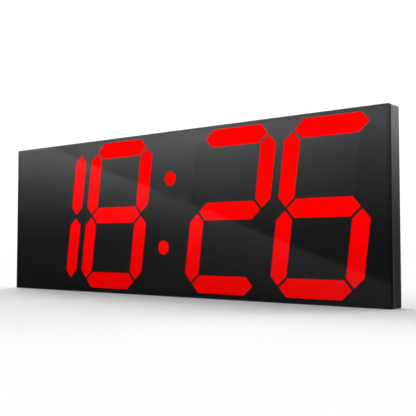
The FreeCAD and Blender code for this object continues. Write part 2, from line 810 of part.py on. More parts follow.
def foot_wells():
    """Outer shells of the two wells that the feet fold into."""
    half = FOOT_WIDTH / 2 + FOOT_CLEARANCE + WELL_WALL
    front = FOOT_PIVOT_Y - FOOT_THICKNESS / 2 - FOOT_CLEARANCE - WELL_FLOOR
    top = FOOT_TIP_Z + 1.0 + WELL_WALL
    return [box(x - half, x + half, front, BACK, 0.2, top) for x in foot_places().values()]


def foot_cavities():
    """The hollows of the wells, with the pin holes and a scoop for a fingertip."""
    half = FOOT_WIDTH / 2 + FOOT_CLEARANCE
    front = FOOT_PIVOT_Y - FOOT_THICKNESS / 2 - FOOT_CLEARANCE
    tools = []
    reach = half + WELL_WALL + 1
    hole = FOOT_PIN_RADIUS + 0.02
    for x in foot_places().values():
        tools.append(box(x - half, x + half, front, BACK + 1, -1, FOOT_TIP_Z + 1.0))
        tools.append(cylinder_x(FOOT_PIVOT_Y, FOOT_PIVOT_Z, hole, x - reach, x + reach))
        tools.append(cylinder_y(x, FOOT_TIP_Z + 0.5, 6.0, COVER_FRONT + 0.6, BACK + 1))
    return tools


def recess_shell():
    """Outer walls of the tub around the power plug and of the groove for its cable."""
    tub = box(
        JACK_WALL_X - RECESS_WALL, RECESS_END_X + RECESS_WALL,
        RECESS_FLOOR_Y - RECESS_WALL, BACK,
        JACK_Z - RECESS_HALF_HEIGHT - RECESS_WALL, JACK_Z + RECESS_HALF_HEIGHT + RECESS_WALL,
    )
    half = CABLE_GROOVE / 2 + RECESS_WALL
    groove = box(CABLE_X - half, CABLE_X + half, CABLE_GROOVE_FLOOR_Y - RECESS_WALL, BACK, 0.2, JACK_Z)
    return tub.fuse(groove)


def recess_cavity():
    """The plug's space, the hole for the jack's barrel and the groove that lets the cable out."""
    tub = box(
        JACK_WALL_X, RECESS_END_X, RECESS_FLOOR_Y, BACK + 1,
        JACK_Z - RECESS_HALF_HEIGHT, JACK_Z + RECESS_HALF_HEIGHT,
    )
    barrel = cylinder_x(JACK_Y, JACK_Z, 4.0, JACK_WALL_X - RECESS_WALL - 1, JACK_WALL_X + 1)
    half = CABLE_GROOVE / 2
    groove = box(CABLE_X - half, CABLE_X + half, CABLE_GROOVE_FLOOR_Y, BACK + 1, -1, JACK_Z)
    return [tub, barrel, groove]


def battery_opening():
    """Stepped opening for the battery door, with sockets for its two hinge stubs."""
    half = DOOR_WIDTH / 2 + 0.15
    through = box(-half + 2, half - 2, COVER_FRONT - 4, BACK + 1, DOOR_BOTTOM + 2, DOOR_TOP - 4.5)
    outer = box(-half, half, COVER_FRONT + 0.5, BACK + 1, DOOR_BOTTOM + 1.5, DOOR_TOP + 0.15)
    hinge_slot = box(-half, half, COVER_FRONT - 1, BACK + 1, DOOR_BOTTOM - 0.15, DOOR_BOTTOM + 3)
    sockets = cylinder_x(DOOR_HINGE_Y, DOOR_BOTTOM + DOOR_HINGE_RADIUS, 0.65, -half - 1.4, half + 1.4)
    x, z = door_screw_place()
    screw_hole = cylinder_y(x, z, 1.3, COVER_FRONT - 4, BACK + 1)
    return [through, outer, hinge_slot, sockets, screw_hole]


def door_screw_place():
    return 0.0, DOOR_TOP - 2.6


def battery_door():
    """Plain lid with a rolled lower edge whose stubs turn in the cover."""
    half = DOOR_WIDTH / 2
    hinge_z = DOOR_BOTTOM + DOOR_HINGE_RADIUS
    lid = box(-half, half, COVER_FRONT + 0.6, BACK - 0.15, hinge_z, DOOR_TOP)
    roll = cylinder_x(DOOR_HINGE_Y, hinge_z, DOOR_HINGE_RADIUS, -half, half)
    stubs = cylinder_x(DOOR_HINGE_Y, hinge_z, 0.6, -half - 1.2, half + 1.2)
    x, z = door_screw_place()
    hole = cylinder_y(x, z, 1.05, COVER_FRONT, BACK + 1)
    seat = cone_y(x, z, 1.05, 2.15, BACK - 1.15, BACK - 0.05)
    rows = [DOOR_TOP - 7.5 - k * 1.8 for k in range(4)]
    grips = [box(-8, 8, BACK - 0.45, BACK + 1, row, row + 0.8) for row in rows]
    return cut(fuse([lid, roll, stubs]), [hole, seat] + grips)


def door_screw():
    x, z = door_screw_place()
    shank = cylinder_y(x, z, 1.0, COVER_FRONT - 1.2, BACK - 1.2)
    head = cone_y(x, z, 1.0, 1.85, BACK - 1.2, BACK - 0.25)
    slot = box(x - 2.5, x + 2.5, BACK - 0.65, BACK + 1, z - 0.25, z + 0.25)
    return shank.fuse(head).cut(slot)


def vent_slots():
    """Rows of upright slots above and below the middle of each pair of digits."""
    slots = []
    for centre in (-107.0, 107.0):
        for z0, z1 in ((12.0, 30.0), (134.0, 150.0)):
            for k in range(-4, 5):
                x = centre + k * 5.0
                slots.append(box(x - 1.0, x + 1.0, COVER_FRONT - 1, BACK + 1, z0, z1))
    return slots


def buzzer_grille():
    holes = [cylinder_y(BUZZER_X, BUZZER_Z, 0.9, COVER_FRONT - 1, BACK + 1)]
    holes += [
        cylinder_y(x, z, 0.9, COVER_FRONT - 1, BACK + 1) for x, z in polygon(BUZZER_X, BUZZER_Z, 3.4, 6)
    ]
    return holes


def rear_cover():
    inset = RAIL_WALL + COVER_GAP
    sheet = rounded_plate(HALF_WIDTH - inset, inset, CASE_HEIGHT - inset, 0.8, COVER_FRONT, BACK)
    solid = fuse([sheet, recess_shell(), door_screw_boss()] + foot_wells() + cover_bosses() + cover_ribs())
    tools = foot_cavities() + recess_cavity() + battery_opening() + vent_slots() + buzzer_grille()
    tools += [keyhole(x, HANG_HEAD_RADIUS + 1.3, HANG_SLOT_RADIUS + 1.3, COVER_FRONT - 1, BACK + 1)
              for x in (-HANG_X, HANG_X)]
    for x, z in rivet_places():
        tools.append(cylinder_y(x, z, 1.55, COVER_FRONT - 1, BACK + 1))
        tools.append(cone_y(x, z, 1.55, 2.5, BACK - 1.0, BACK))
    for x in button_places().values():
        tools.append(cylinder_y(x, BUTTON_Z, BUTTON_RADIUS + 0.2, COVER_FRONT - 1, BACK + 1))
    for x, z in cover_screw_places():
        tools.append(cylinder_y(x, z, COVER_SCREW_RADIUS + 0.15, COVER_FRONT - 1, BACK + 1))
        tools.append(cone_y(x, z, COVER_SCREW_RADIUS + 0.15, COVER_SCREW_HEAD + 0.15, BACK - 1.2, BACK))
    return cut(solid, tools)


def cover_screws():
    """Countersunk screws with a cross recess, flush with the cover."""
    screws = []
    for x, z in cover_screw_places():
        shank = cylinder_y(x, z, COVER_SCREW_RADIUS, BOARD_BACK + LEDGE_THICKNESS + 0.4, BACK - 1.2)
        head = cone_y(x, z, COVER_SCREW_RADIUS, COVER_SCREW_HEAD, BACK - 1.2, BACK - 0.1)
        cross = [
            box(x - 1.3, x + 1.3, BACK - 0.8, BACK + 1, z - 0.3, z + 0.3),
            box(x - 0.3, x + 0.3, BACK - 0.8, BACK + 1, z - 1.3, z + 1.3),
        ]
        screws.append(cut(shank.fuse(head), cross))
    return screws


def write_case():
    save("front_lens", front_lens())
    save("lens_tape", lens_tape())
    save("mask_film", mask_film())
    for name, rail in drilled_rails().items():
        save(name, rail)
    save("corner_keys", *corner_keys())
    save("corner_key_screws", *key_screws())
    save("rear_cover", rear_cover())
    save("cover_screws", *cover_screws())
    save("hanger_plates", *hang_plates())
    save("hanger_rivets", *rivets())


def write_display():
    for number, centre_x in digit_centres().items():
        shown = SEGMENTS_SHOWN[number]
        dark = [letter for letter in "abcdefg" if letter not in shown]
        save(f"digit_{number}_reflector", reflector_block(centre_x))
        save(f"digit_{number}_lit_segments", *light_inserts(centre_x, shown))
        if dark:
            save(f"digit_{number}_dark_segments", *light_inserts(centre_x, dark))
    save("reflector_screws", *block_screws())
    save("colon_reflector", colon_block())
    save("colon_dots", *colon_dots())
    save("left_display_board", display_board("left"))
    save("right_display_board", display_board("right"))
    save("left_board_leds", *digit_leds((1, 2)))
    save("right_board_leds", *digit_leds((3, 4)))
    save("colon_leds", *led_chips(colon_points()))
    save("led_driver_chips", *driver_chips())
    save("led_resistors", *led_resistors())
    save("board_link_connectors", *board_links())


def write_electronics():
    save("control_board", control_board())
    save("controller_chip", box(1, 12, BOARD_BACK, BOARD_BACK + 1.6, 41, 52))
    save("clock_crystal", box(-9, -6, BOARD_BACK, BOARD_BACK + 1.8, 43, 51))
    save("power_connector", power_connector())
    save("power_leads", *power_leads())
    save("smoothing_capacitors", *smoothing_capacitors())
    save("tact_switches", *tact_switches())
    save("buzzer", buzzer())
    save("coin_cell_holder", cell_holder())
    save("coin_cell", coin_cell())
    save("infrared_receiver", infrared_receiver())
    save("power_jack", jack_body())
    save("power_jack_pin", jack_pin())
    save("power_jack_nut", jack_nut())


def write_moving_parts():
    for name, x in button_places().items():
        save(f"{name}_button", button_cap(name, x))
    for side, x in foot_places().items():
        save(f"{side}_foot", foot(x))
        save(f"{side}_foot_pad", foot_pad(x))
    save("foot_pins", *foot_pins())
    save("battery_door", battery_door())
    save("battery_door_screw", door_screw())


os.makedirs("parts", exist_ok=True)
write_case()
write_display()
write_electronics()
write_moving_parts()
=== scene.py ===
import json
import logging
import math
from dataclasses import dataclass
from enum import Enum
from typing import Any

import bmesh
import bpy
from mathutils import Matrix, Vector

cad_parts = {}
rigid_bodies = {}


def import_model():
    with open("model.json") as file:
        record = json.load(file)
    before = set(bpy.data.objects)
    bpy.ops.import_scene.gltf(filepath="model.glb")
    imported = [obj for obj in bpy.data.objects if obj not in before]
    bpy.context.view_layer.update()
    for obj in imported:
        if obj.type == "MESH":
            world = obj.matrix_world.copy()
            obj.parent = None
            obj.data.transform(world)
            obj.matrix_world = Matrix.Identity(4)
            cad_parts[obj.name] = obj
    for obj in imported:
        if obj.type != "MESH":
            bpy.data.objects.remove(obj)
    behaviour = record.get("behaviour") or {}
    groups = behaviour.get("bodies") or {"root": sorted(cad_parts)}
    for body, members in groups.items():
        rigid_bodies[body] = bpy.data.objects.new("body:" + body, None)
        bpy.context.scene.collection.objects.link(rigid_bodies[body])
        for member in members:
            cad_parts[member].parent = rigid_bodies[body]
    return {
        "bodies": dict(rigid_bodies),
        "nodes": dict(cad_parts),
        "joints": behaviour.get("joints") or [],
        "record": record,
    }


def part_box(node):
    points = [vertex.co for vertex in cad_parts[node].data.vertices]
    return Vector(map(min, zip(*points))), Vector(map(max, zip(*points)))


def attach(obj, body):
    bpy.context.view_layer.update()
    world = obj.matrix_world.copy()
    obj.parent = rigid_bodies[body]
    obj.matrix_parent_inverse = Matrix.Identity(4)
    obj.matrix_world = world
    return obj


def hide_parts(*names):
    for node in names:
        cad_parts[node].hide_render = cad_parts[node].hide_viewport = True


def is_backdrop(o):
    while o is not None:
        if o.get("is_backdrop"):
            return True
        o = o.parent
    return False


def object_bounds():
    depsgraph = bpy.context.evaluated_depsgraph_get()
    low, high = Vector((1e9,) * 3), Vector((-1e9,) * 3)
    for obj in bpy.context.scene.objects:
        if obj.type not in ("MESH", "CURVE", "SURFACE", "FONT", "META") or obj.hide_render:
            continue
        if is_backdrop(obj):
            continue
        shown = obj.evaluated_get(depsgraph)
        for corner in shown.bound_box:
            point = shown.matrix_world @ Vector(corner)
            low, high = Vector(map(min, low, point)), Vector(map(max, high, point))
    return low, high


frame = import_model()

Colour = tuple[float, float, float]
LOG = logging.getLogger("round_timer")
MM = 0.001


class Pattern(Enum):
    """The ways in which a surface varies."""

    GRAIN = "fine even grain, as of spark-eroded or moulded plastic"
    BRUSHED = "long fine lines along X"
    MOTTLED = "soft cloudy patches, as of plating"
    TRACKS = "copper tracks under solder mask"
    POLISHED = "smooth gloss with faint haze"


class Value:
    """A node socket that can stand in a Python expression."""

    def __init__(self, graph: "Graph", socket: bpy.types.NodeSocket) -> None:
        """Wraps an output socket of a graph."""
        self.graph = graph
        self.socket = socket

    def _math(self, operation: str, first: Any, second: Any) -> "Value":
        """Adds one Math node and returns its result."""
        node = self.graph.node("ShaderNodeMath", {"operation": operation}, {0: first, 1: second})
        return self.graph.value(node)

    def __add__(self, other: Any) -> "Value":
        """Sum."""
        return self._math("ADD", self, other)

    __radd__ = __add__

    def __mul__(self, other: Any) -> "Value":
        """Product."""
        return self._math("MULTIPLY", self, other)

    __rmul__ = __mul__

    def __sub__(self, other: Any) -> "Value":
        """Difference."""
        return self._math("SUBTRACT", self, other)

    def __rsub__(self, other: Any) -> "Value":
        """Difference taken from a number."""
        return self._math("SUBTRACT", other, self)

    def __pow__(self, other: Any) -> "Value":
        """Power."""
        return self._math("POWER", self, other)

    def clamped(self) -> "Value":
        """The value held between 0 and 1."""
        return self._math("MINIMUM", self._math("MAXIMUM", self, 0.0), 1.0)


class Graph:
    """Adds nodes to one node tree."""

    def __init__(self, tree: bpy.types.NodeTree) -> None:
        """Starts on a tree."""
        self.tree = tree

    def node(self, kind: str, settings: dict[str, Any] | None = None,
             inputs: dict[Any, Any] | None = None) -> bpy.types.Node:
        """Adds one node.

        Args:
            kind: The node's type name.
            settings: Properties to set first; "stops" sets a colour ramp as (position, colour).
            inputs: Values or wrapped sockets by input name or number.

        Returns:
            The new node.
        """
        node = self.tree.nodes.new(kind)
        for key, setting in (settings or {}).items():
            if key == "stops":
                self._set_stops(node.color_ramp, setting)
            else:
                setattr(node, key, setting)
        for key, given in (inputs or {}).items():
            if isinstance(given, Value):
                self.tree.links.new(given.socket, node.inputs[key])
            else:
                node.inputs[key].default_value = given
        return node

    @staticmethod
    def _set_stops(ramp: bpy.types.ColorRamp, stops: list[tuple[float, float]]) -> None:
        """Gives a ramp grey stops at the stated positions."""
        while len(ramp.elements) < len(stops):
            ramp.elements.new(1.0)
        for element, (position, grey) in zip(ramp.elements, stops):
            element.position = position
            element.color = (grey, grey, grey, 1.0)

    def ramp(self, share: Value, stops: tuple[tuple[float, float], ...]) -> Value:
        """Follows a line through (position, value) stops; the values may pass 1."""
        peak = max(level for _, level in stops)
        scaled = [(position, level / peak) for position, level in stops]
        ramp = self.node("ShaderNodeValToRGB", {"stops": scaled}, {"Fac": share.clamped()})
        return self.value(ramp) * peak

    def value(self, node: bpy.types.Node, output: Any = 0) -> Value:
        """Wraps an output of a node."""
        return Value(self, node.outputs[output])

    def place(self, scale: Vector | tuple[float, float, float], centre: Vector | None = None) -> Value:
        """Object coordinates in metres, moved so that centre is the origin, then scaled."""
        centre = centre or Vector((0.0, 0.0, 0.0))
        coordinates = self.value(self.node("ShaderNodeTexCoord"), "Object")
        moved = self.node("ShaderNodeVectorMath", {"operation": "SUBTRACT"}, {0: coordinates, 1: centre})
        mapping = self.node("ShaderNodeMapping", None, {"Vector": self.value(moved), "Scale": scale})
        return self.value(mapping)

    def noise(self, place: Value, scale: float, detail: float = 2.0) -> Value:
        """Noise from 0 to 1 with the stated number of features a metre."""
        settings = {"Vector": place, "Scale": scale, "Detail": detail, "Roughness": 0.55}
        return self.value(self.node("ShaderNodeTexNoise", None, settings), 0)

    def blend(self, share: Value, low: Any, high: Any) -> Value:
        """Colour mixed from low to high."""
        ends = {0: share}
        for slot, end in ((6, low), (7, high)):
            ends[slot] = end if isinstance(end, Value) else (*end, 1.0)
        return self.value(self.node("ShaderNodeMix", {"data_type": "RGBA"}, ends), 2)

    def height(self) -> Value:
        """Height above the footprint in metres."""
        parts = self.node("ShaderNodeSeparateXYZ", None, {0: self.place((1.0, 1.0, 1.0))})
        return self.value(parts, "Z")


def new_material(name: str) -> tuple[bpy.types.Material, Graph, bpy.types.Node]:
    """Makes a node material.

    Args:
        name: The material's name.

    Returns:
        The material, its graph and its Principled shader.
    """
    material = bpy.data.materials.new(name)
    material.use_nodes = True
    graph = Graph(material.node_tree)
    return material, graph, material.node_tree.nodes["Principled BSDF"]


@dataclass(frozen=True)
class Finish:
    """One finish: its two colours, its gloss and how it varies over the surface."""

    name: str
    colour: Colour
    shade: Colour
    roughness: tuple[float, float]
    grain_mm: float = 0.5
    relief_mm: float = 0.0
    metallic: float = 0.0
    specular: float = 0.5
    alpha: float = 1.0
    pattern: Pattern = Pattern.GRAIN

    def _mask(self, graph: Graph) -> Value:
        """The share of the second colour, from 0 to 1."""
        per_metre = 1.0 / (self.grain_mm * MM)
        place = graph.place((1.0, 1.0, 1.0))
        if self.pattern is Pattern.BRUSHED:
            return graph.noise(graph.place((0.02, 1.0, 1.0)), per_metre, 3.0)
        if self.pattern is Pattern.MOTTLED:
            return graph.noise(place, per_metre, 4.0) * 0.7 + graph.noise(place, per_metre * 9.0) * 0.3
        if self.pattern is Pattern.TRACKS:
            cells = graph.node(
                "ShaderNodeTexVoronoi", {"distance": "MANHATTAN", "feature": "F1"},
                {"Vector": place, "Scale": per_metre},
            )
            return (graph.value(cells, "Distance") * 6.0 - 1.4).clamped()
        return graph.noise(place, per_metre, 3.0)

    def material(self) -> bpy.types.Material:
        """Builds the material."""
        material, graph, shader = new_material(self.name)
        mask = self._mask(graph)
        cloud = graph.noise(graph.place((1.0, 1.0, 1.0)), 35.0)
        low, high = self.roughness
        share = (mask * 0.8 + cloud * 0.4 - 0.1).clamped()
        links = graph.tree.links
        links.new(graph.blend(share, self.colour, self.shade).socket, shader.inputs["Base Color"])
        links.new((share * (high - low) + low).socket, shader.inputs["Roughness"])
        shader.inputs["Metallic"].default_value = self.metallic
        shader.inputs["Specular IOR Level"].default_value = self.specular
        shader.inputs["Alpha"].default_value = self.alpha
        if self.relief_mm:
            bump = graph.node(
                "ShaderNodeBump", None,
                {"Height": mask, "Distance": self.relief_mm * MM, "Strength": 0.6},
            )
            links.new(graph.value(bump).socket, shader.inputs["Normal"])
        return material


@dataclass(frozen=True)
class Glow:
    """A lit diffuser: its light falls off a little towards the lower edge of the case."""

    name: str = "lit_diffuser"
    upper: Colour = (1.0, 0.0, 0.0)
    lower: Colour = (0.66, 0.0, 0.0)
    strength: float = 1.3
    upper_z: float = 0.100
    lower_z: float = 0.012

    def material(self) -> bpy.types.Material:
        """Builds the material."""
        material, graph, shader = new_material(self.name)
        rise = (graph.height() - self.lower_z) * (1.0 / (self.upper_z - self.lower_z))
        ripple = graph.noise(graph.place((1.0, 1.0, 1.0)), 260.0) * 0.06 - 0.03
        light = graph.blend((rise + ripple).clamped(), self.lower, self.upper)
        graph.tree.links.new(light.socket, shader.inputs["Emission Color"])
        body = graph.blend(graph.noise(graph.place((1.0, 1.0, 1.0)), 900.0), (0.3, 0.0, 0.0), (0.34, 0.0, 0.0))
        graph.tree.links.new(body.socket, shader.inputs["Base Color"])
        shader.inputs["Emission Strength"].default_value = self.strength
        shader.inputs["Roughness"].default_value = 0.55
        shader.inputs["Specular IOR Level"].default_value = 0.0
        return material


SLOT_FINISHES = {
    "smoked_acrylic": Finish(
        "smoked_acrylic", (0.004, 0.004, 0.0045), (0.006, 0.006, 0.0065), (0.02, 0.05),
        grain_mm=14.0, alpha=0.15, pattern=Pattern.POLISHED,
    ),
    "mask_ink": Finish(
        "mask_ink", (0.0026, 0.0026, 0.0027), (0.0032, 0.0032, 0.0033), (0.07, 0.10),
        grain_mm=9.0, pattern=Pattern.POLISHED,
    ),
    "dark_diffuser": Finish(
        "dark_diffuser", (0.0026, 0.0026, 0.0027), (0.0032, 0.0032, 0.0033), (0.07, 0.10),
        grain_mm=9.0, pattern=Pattern.POLISHED,
    ),
    "lit_diffuser": Glow(),
    "black_tape": Finish("black_tape", (0.008, 0.008, 0.008), (0.012, 0.012, 0.012), (0.7, 0.85)),
    "anodised_aluminium": Finish(
        "anodised_aluminium", (0.0016, 0.0016, 0.0017), (0.0026, 0.0026, 0.0028), (0.26, 0.38),
        grain_mm=0.22, relief_mm=0.012, specular=0.37,
    ),
    "zinc_plated_steel": Finish(
        "zinc_plated_steel", (0.56, 0.57, 0.58), (0.66, 0.65, 0.60), (0.22, 0.42),
        grain_mm=2.5, relief_mm=0.02, metallic=1.0, pattern=Pattern.MOTTLED,
    ),
    "black_oxide_steel": Finish(
        "black_oxide_steel", (0.035, 0.035, 0.038), (0.06, 0.058, 0.056), (0.3, 0.5),
        grain_mm=0.4, relief_mm=0.01, metallic=0.8, pattern=Pattern.MOTTLED,
    ),
    "black_abs": Finish(
        "black_abs", (0.016, 0.016, 0.0168), (0.024, 0.024, 0.025), (0.42, 0.62),
        grain_mm=0.35, relief_mm=0.05,
    ),
    "reflector_plastic": Finish(
        "reflector_plastic", (0.02, 0.02, 0.02), (0.03, 0.03, 0.03), (0.5, 0.65), grain_mm=0.6, relief_mm=0.02,
    ),
    "circuit_board": Finish(
        "circuit_board", (0.006, 0.05, 0.022), (0.012, 0.085, 0.036), (0.22, 0.36),
        grain_mm=6.0, relief_mm=0.03, pattern=Pattern.TRACKS,
    ),
    "led_package": Finish("led_package", (0.78, 0.74, 0.6), (0.84, 0.82, 0.74), (0.3, 0.45), grain_mm=0.8),
    "chip_epoxy": Finish(
        "chip_epoxy", (0.018, 0.018, 0.019), (0.03, 0.03, 0.032), (0.45, 0.6), grain_mm=0.2, relief_mm=0.02,
    ),
    "connector_nylon": Finish("connector_nylon", (0.7, 0.67, 0.56), (0.78, 0.76, 0.68), (0.35, 0.5)),
    "crystal_can": Finish(
        "crystal_can", (0.6, 0.6, 0.6), (0.7, 0.7, 0.69), (0.18, 0.34),
        grain_mm=0.3, metallic=1.0, pattern=Pattern.BRUSHED,
    ),
    "copper_wire_sleeve": Finish("copper_wire_sleeve", (0.36, 0.01, 0.01), (0.45, 0.02, 0.02), (0.35, 0.5)),
    "switch_plastic": Finish("switch_plastic", (0.03, 0.03, 0.032), (0.045, 0.045, 0.046), (0.4, 0.55)),
    "cell_steel": Finish(
        "cell_steel", (0.62, 0.62, 0.6), (0.7, 0.7, 0.67), (0.16, 0.32),
        grain_mm=0.25, metallic=1.0, pattern=Pattern.BRUSHED,
    ),
    "receiver_epoxy": Finish("receiver_epoxy", (0.012, 0.006, 0.010), (0.02, 0.01, 0.016), (0.08, 0.16)),
    "jack_plastic": Finish(
        "jack_plastic", (0.018, 0.018, 0.018), (0.028, 0.028, 0.028), (0.35, 0.5), grain_mm=0.3, relief_mm=0.02,
    ),
    "nickel_plated_brass": Finish(
        "nickel_plated_brass", (0.62, 0.6, 0.54), (0.72, 0.69, 0.62), (0.14, 0.3),
        grain_mm=1.2, metallic=1.0, pattern=Pattern.MOTTLED,
    ),
    "keycap_plastic": Finish(
        "keycap_plastic", (0.07, 0.07, 0.073), (0.09, 0.09, 0.094), (0.34, 0.5), grain_mm=0.25, relief_mm=0.02,
    ),
    "soft_pad": Finish(
        "soft_pad", (0.014, 0.014, 0.014), (0.024, 0.024, 0.024), (0.75, 0.9), grain_mm=0.5, relief_mm=0.06,
    ),
}


RIM_PRINT = Finish(
    "rim_print", (0.0030, 0.0030, 0.0031), (0.0036, 0.0036, 0.0037), (0.07, 0.10),
    grain_mm=9.0, specular=0.23, pattern=Pattern.POLISHED,
)
# painted highlight: a light grey that stands in for the frame's front edge catching the floor's light
EDGE_HIGHLIGHT_PAINT = Finish("painted_edge_highlight", (0.075, 0.075, 0.077), (0.11, 0.11, 0.112), (0.4, 0.55), grain_mm=0.3, specular=0.3)
WHITE_PRINT = Finish("white_print", (0.62, 0.62, 0.60), (0.74, 0.74, 0.72), (0.5, 0.7), grain_mm=0.3)
RIM_SIDE_PRINT = Finish(
    "rim_side_print", (0.0030, 0.0030, 0.0031), (0.0042, 0.0042, 0.0043), (0.34, 0.46), grain_mm=0.4, specular=0.03,
)


class Workshop:
    """Dresses the carried-over nodes in the finish of their slot."""

    def __init__(self, packed: dict[str, Any]) -> None:
        """Builds every slot's material once."""
        self.nodes = packed["nodes"]
        self.slots = {row["node"]: row["material_slot"] for row in packed["record"]["subparts"]}
        self.materials = {slot: finish.material() for slot, finish in SLOT_FINISHES.items()}

    def dress_nodes(self) -> None:
        """Gives each node its material."""
        for name, node in self.nodes.items():
            slot = self.slots[name]
            node.data.materials.clear()
            node.data.materials.append(self.materials[slot])
            node.visible_diffuse = slot != "lit_diffuser"
            LOG.info("node %s in %s", name, slot)


class MeshTree(Graph):
    """A Geometry Nodes tree that turns loose points into one plain mesh."""

    def __init__(self, name: str, inputs: dict[str, float | int]) -> None:
        """Starts a tree.

        Args:
            name: The tree's name.
            inputs: Sizes and counts by input name, with the value each starts from.
        """
        super().__init__(bpy.data.node_groups.new(name, "GeometryNodeTree"))
        face = self.tree.interface
        face.new_socket("Points", in_out="INPUT", socket_type="NodeSocketGeometry")
        for label, start in inputs.items():
            kind = "NodeSocketInt" if isinstance(start, int) else "NodeSocketFloat"
            face.new_socket(label, in_out="INPUT", socket_type=kind).default_value = start
        face.new_socket("Material", in_out="INPUT", socket_type="NodeSocketMaterial")
        face.new_socket("Mesh", in_out="OUTPUT", socket_type="NodeSocketGeometry")
        self.entry = self.node("NodeGroupInput")

    def given(self, label: str) -> Value:
        """An input of the tree."""
        return self.value(self.entry, label)

    def vector(self, x: Any = 0.0, y: Any = 0.0, z: Any = 0.0) -> Value:
        """Puts three numbers together."""
        return self.value(self.node("ShaderNodeCombineXYZ", None, {0: x, 1: y, 2: z}))

    def moved(self, shape: Value, shift: Value | Vector, turn: tuple[float, float, float] = (0.0, 0.0, 0.0)) -> Value:
        """Turns a shape and then shifts it."""
        inputs = {"Geometry": shape, "Translation": shift, "Rotation": turn}
        return self.value(self.node("GeometryNodeTransform", None, inputs))

    def joined(self, *shapes: Value) -> Value:
        """Joins shapes into one."""
        join = self.node("GeometryNodeJoinGeometry")
        for shape in reversed(shapes):
            self.tree.links.new(shape.socket, join.inputs[0])
        return self.value(join)

    def rod(self, radius: Any, length: Any, sides: int) -> Value:
        """A capped rod along Z, with its middle at the origin."""
        inputs = {"Vertices": sides, "Radius": radius, "Depth": length}
        return self.value(self.node("GeometryNodeMeshCylinder", None, inputs), "Mesh")

    def row(self, shape: Value, count: Any, pitch: Any, along: Vector) -> Value:
        """Repeats a shape in a straight row that is centred on the origin."""
        step = self.vector(*(pitch * part for part in along))
        reach = (count - 1.0) * pitch * -0.5
        start = self.vector(*(reach * part for part in along))
        line = self.node("GeometryNodeMeshLine", None, {"Count": count, "Start Location": start, "Offset": step})
        return self.on(self.value(line), shape)

    def on(self, points: Value, shape: Value, turn: Any = (0.0, 0.0, 0.0)) -> Value:
        """Puts a shape on every point."""
        inputs = {"Points": points, "Instance": shape, "Rotation": turn}
        return self.value(self.node("GeometryNodeInstanceOnPoints", None, inputs))

    def close(self, shape: Value) -> None:
        """Ends the tree in real mesh with the given material."""
        real = self.value(self.node("GeometryNodeRealizeInstances", None, {0: shape}))
        inputs = {"Geometry": real, "Material": self.given("Material")}
        dressed = self.value(self.node("GeometryNodeSetMaterial", None, inputs))
        self.node("NodeGroupOutput", None, {0: dressed})

    def make(self, name: str, points: list[Vector], sizes: dict[str, float | int],
             material: bpy.types.Material) -> bpy.types.Object:
        """Runs the tree and keeps its result as a plain mesh.

        Args:
            name: The piece's name.
            points: Where the shape goes, in metres.
            sizes: Values for the tree's inputs by name.
            material: What the shape is dressed in.

        Returns:
            The piece, at the origin.
        """
        seed = bpy.data.meshes.new(name + "_points")
        seed.from_pydata(points, [], [])
        carrier = bpy.data.objects.new(name + "_points", seed)
        bpy.context.scene.collection.objects.link(carrier)
        modifier = carrier.modifiers.new(name, "NODES")
        modifier.node_group = self.tree
        sockets = {item.name: item for item in self.tree.interface.items_tree if item.in_out == "INPUT"}
        for label, size in {**sizes, "Material": material}.items():
            modifier[sockets[label].identifier] = size
        bpy.context.view_layer.update()
        evaluated = carrier.evaluated_get(bpy.context.evaluated_depsgraph_get())
        mesh = bpy.data.meshes.new_from_object(evaluated)
        carrier.modifiers.remove(modifier)
        bpy.data.objects.remove(carrier)
        mesh.name = name
        piece = bpy.data.objects.new(name, mesh)
        bpy.context.scene.collection.objects.link(piece)
        return piece


@dataclass
class Fitter:
    """Fixes finished pieces to their bodies and reports them."""

    workshop: Workshop

    def fit(self, piece: bpy.types.Object, body: str, slot: str, *replaced: str) -> None:
        """Makes a piece ride.

        Args:
            piece: The finished piece.
            body: The body it moves with.
            slot: The material slot that its finish belongs to; not used.
            replaced: The nodes that it stands for.
        """
        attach(piece, body)
        if replaced:
            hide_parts(*replaced)
        count = sum(len(face.vertices) - 2 for face in piece.data.polygons)
        LOG.info("piece %s on %s, %d triangles", piece.name, body, count)

    def material(self, slot: str) -> bpy.types.Material:
        """The material of a slot."""
        return self.workshop.materials[slot]

    @staticmethod
    def box(node: str) -> tuple[Vector, Vector]:
        """A node's lowest and highest corners."""
        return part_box(node)


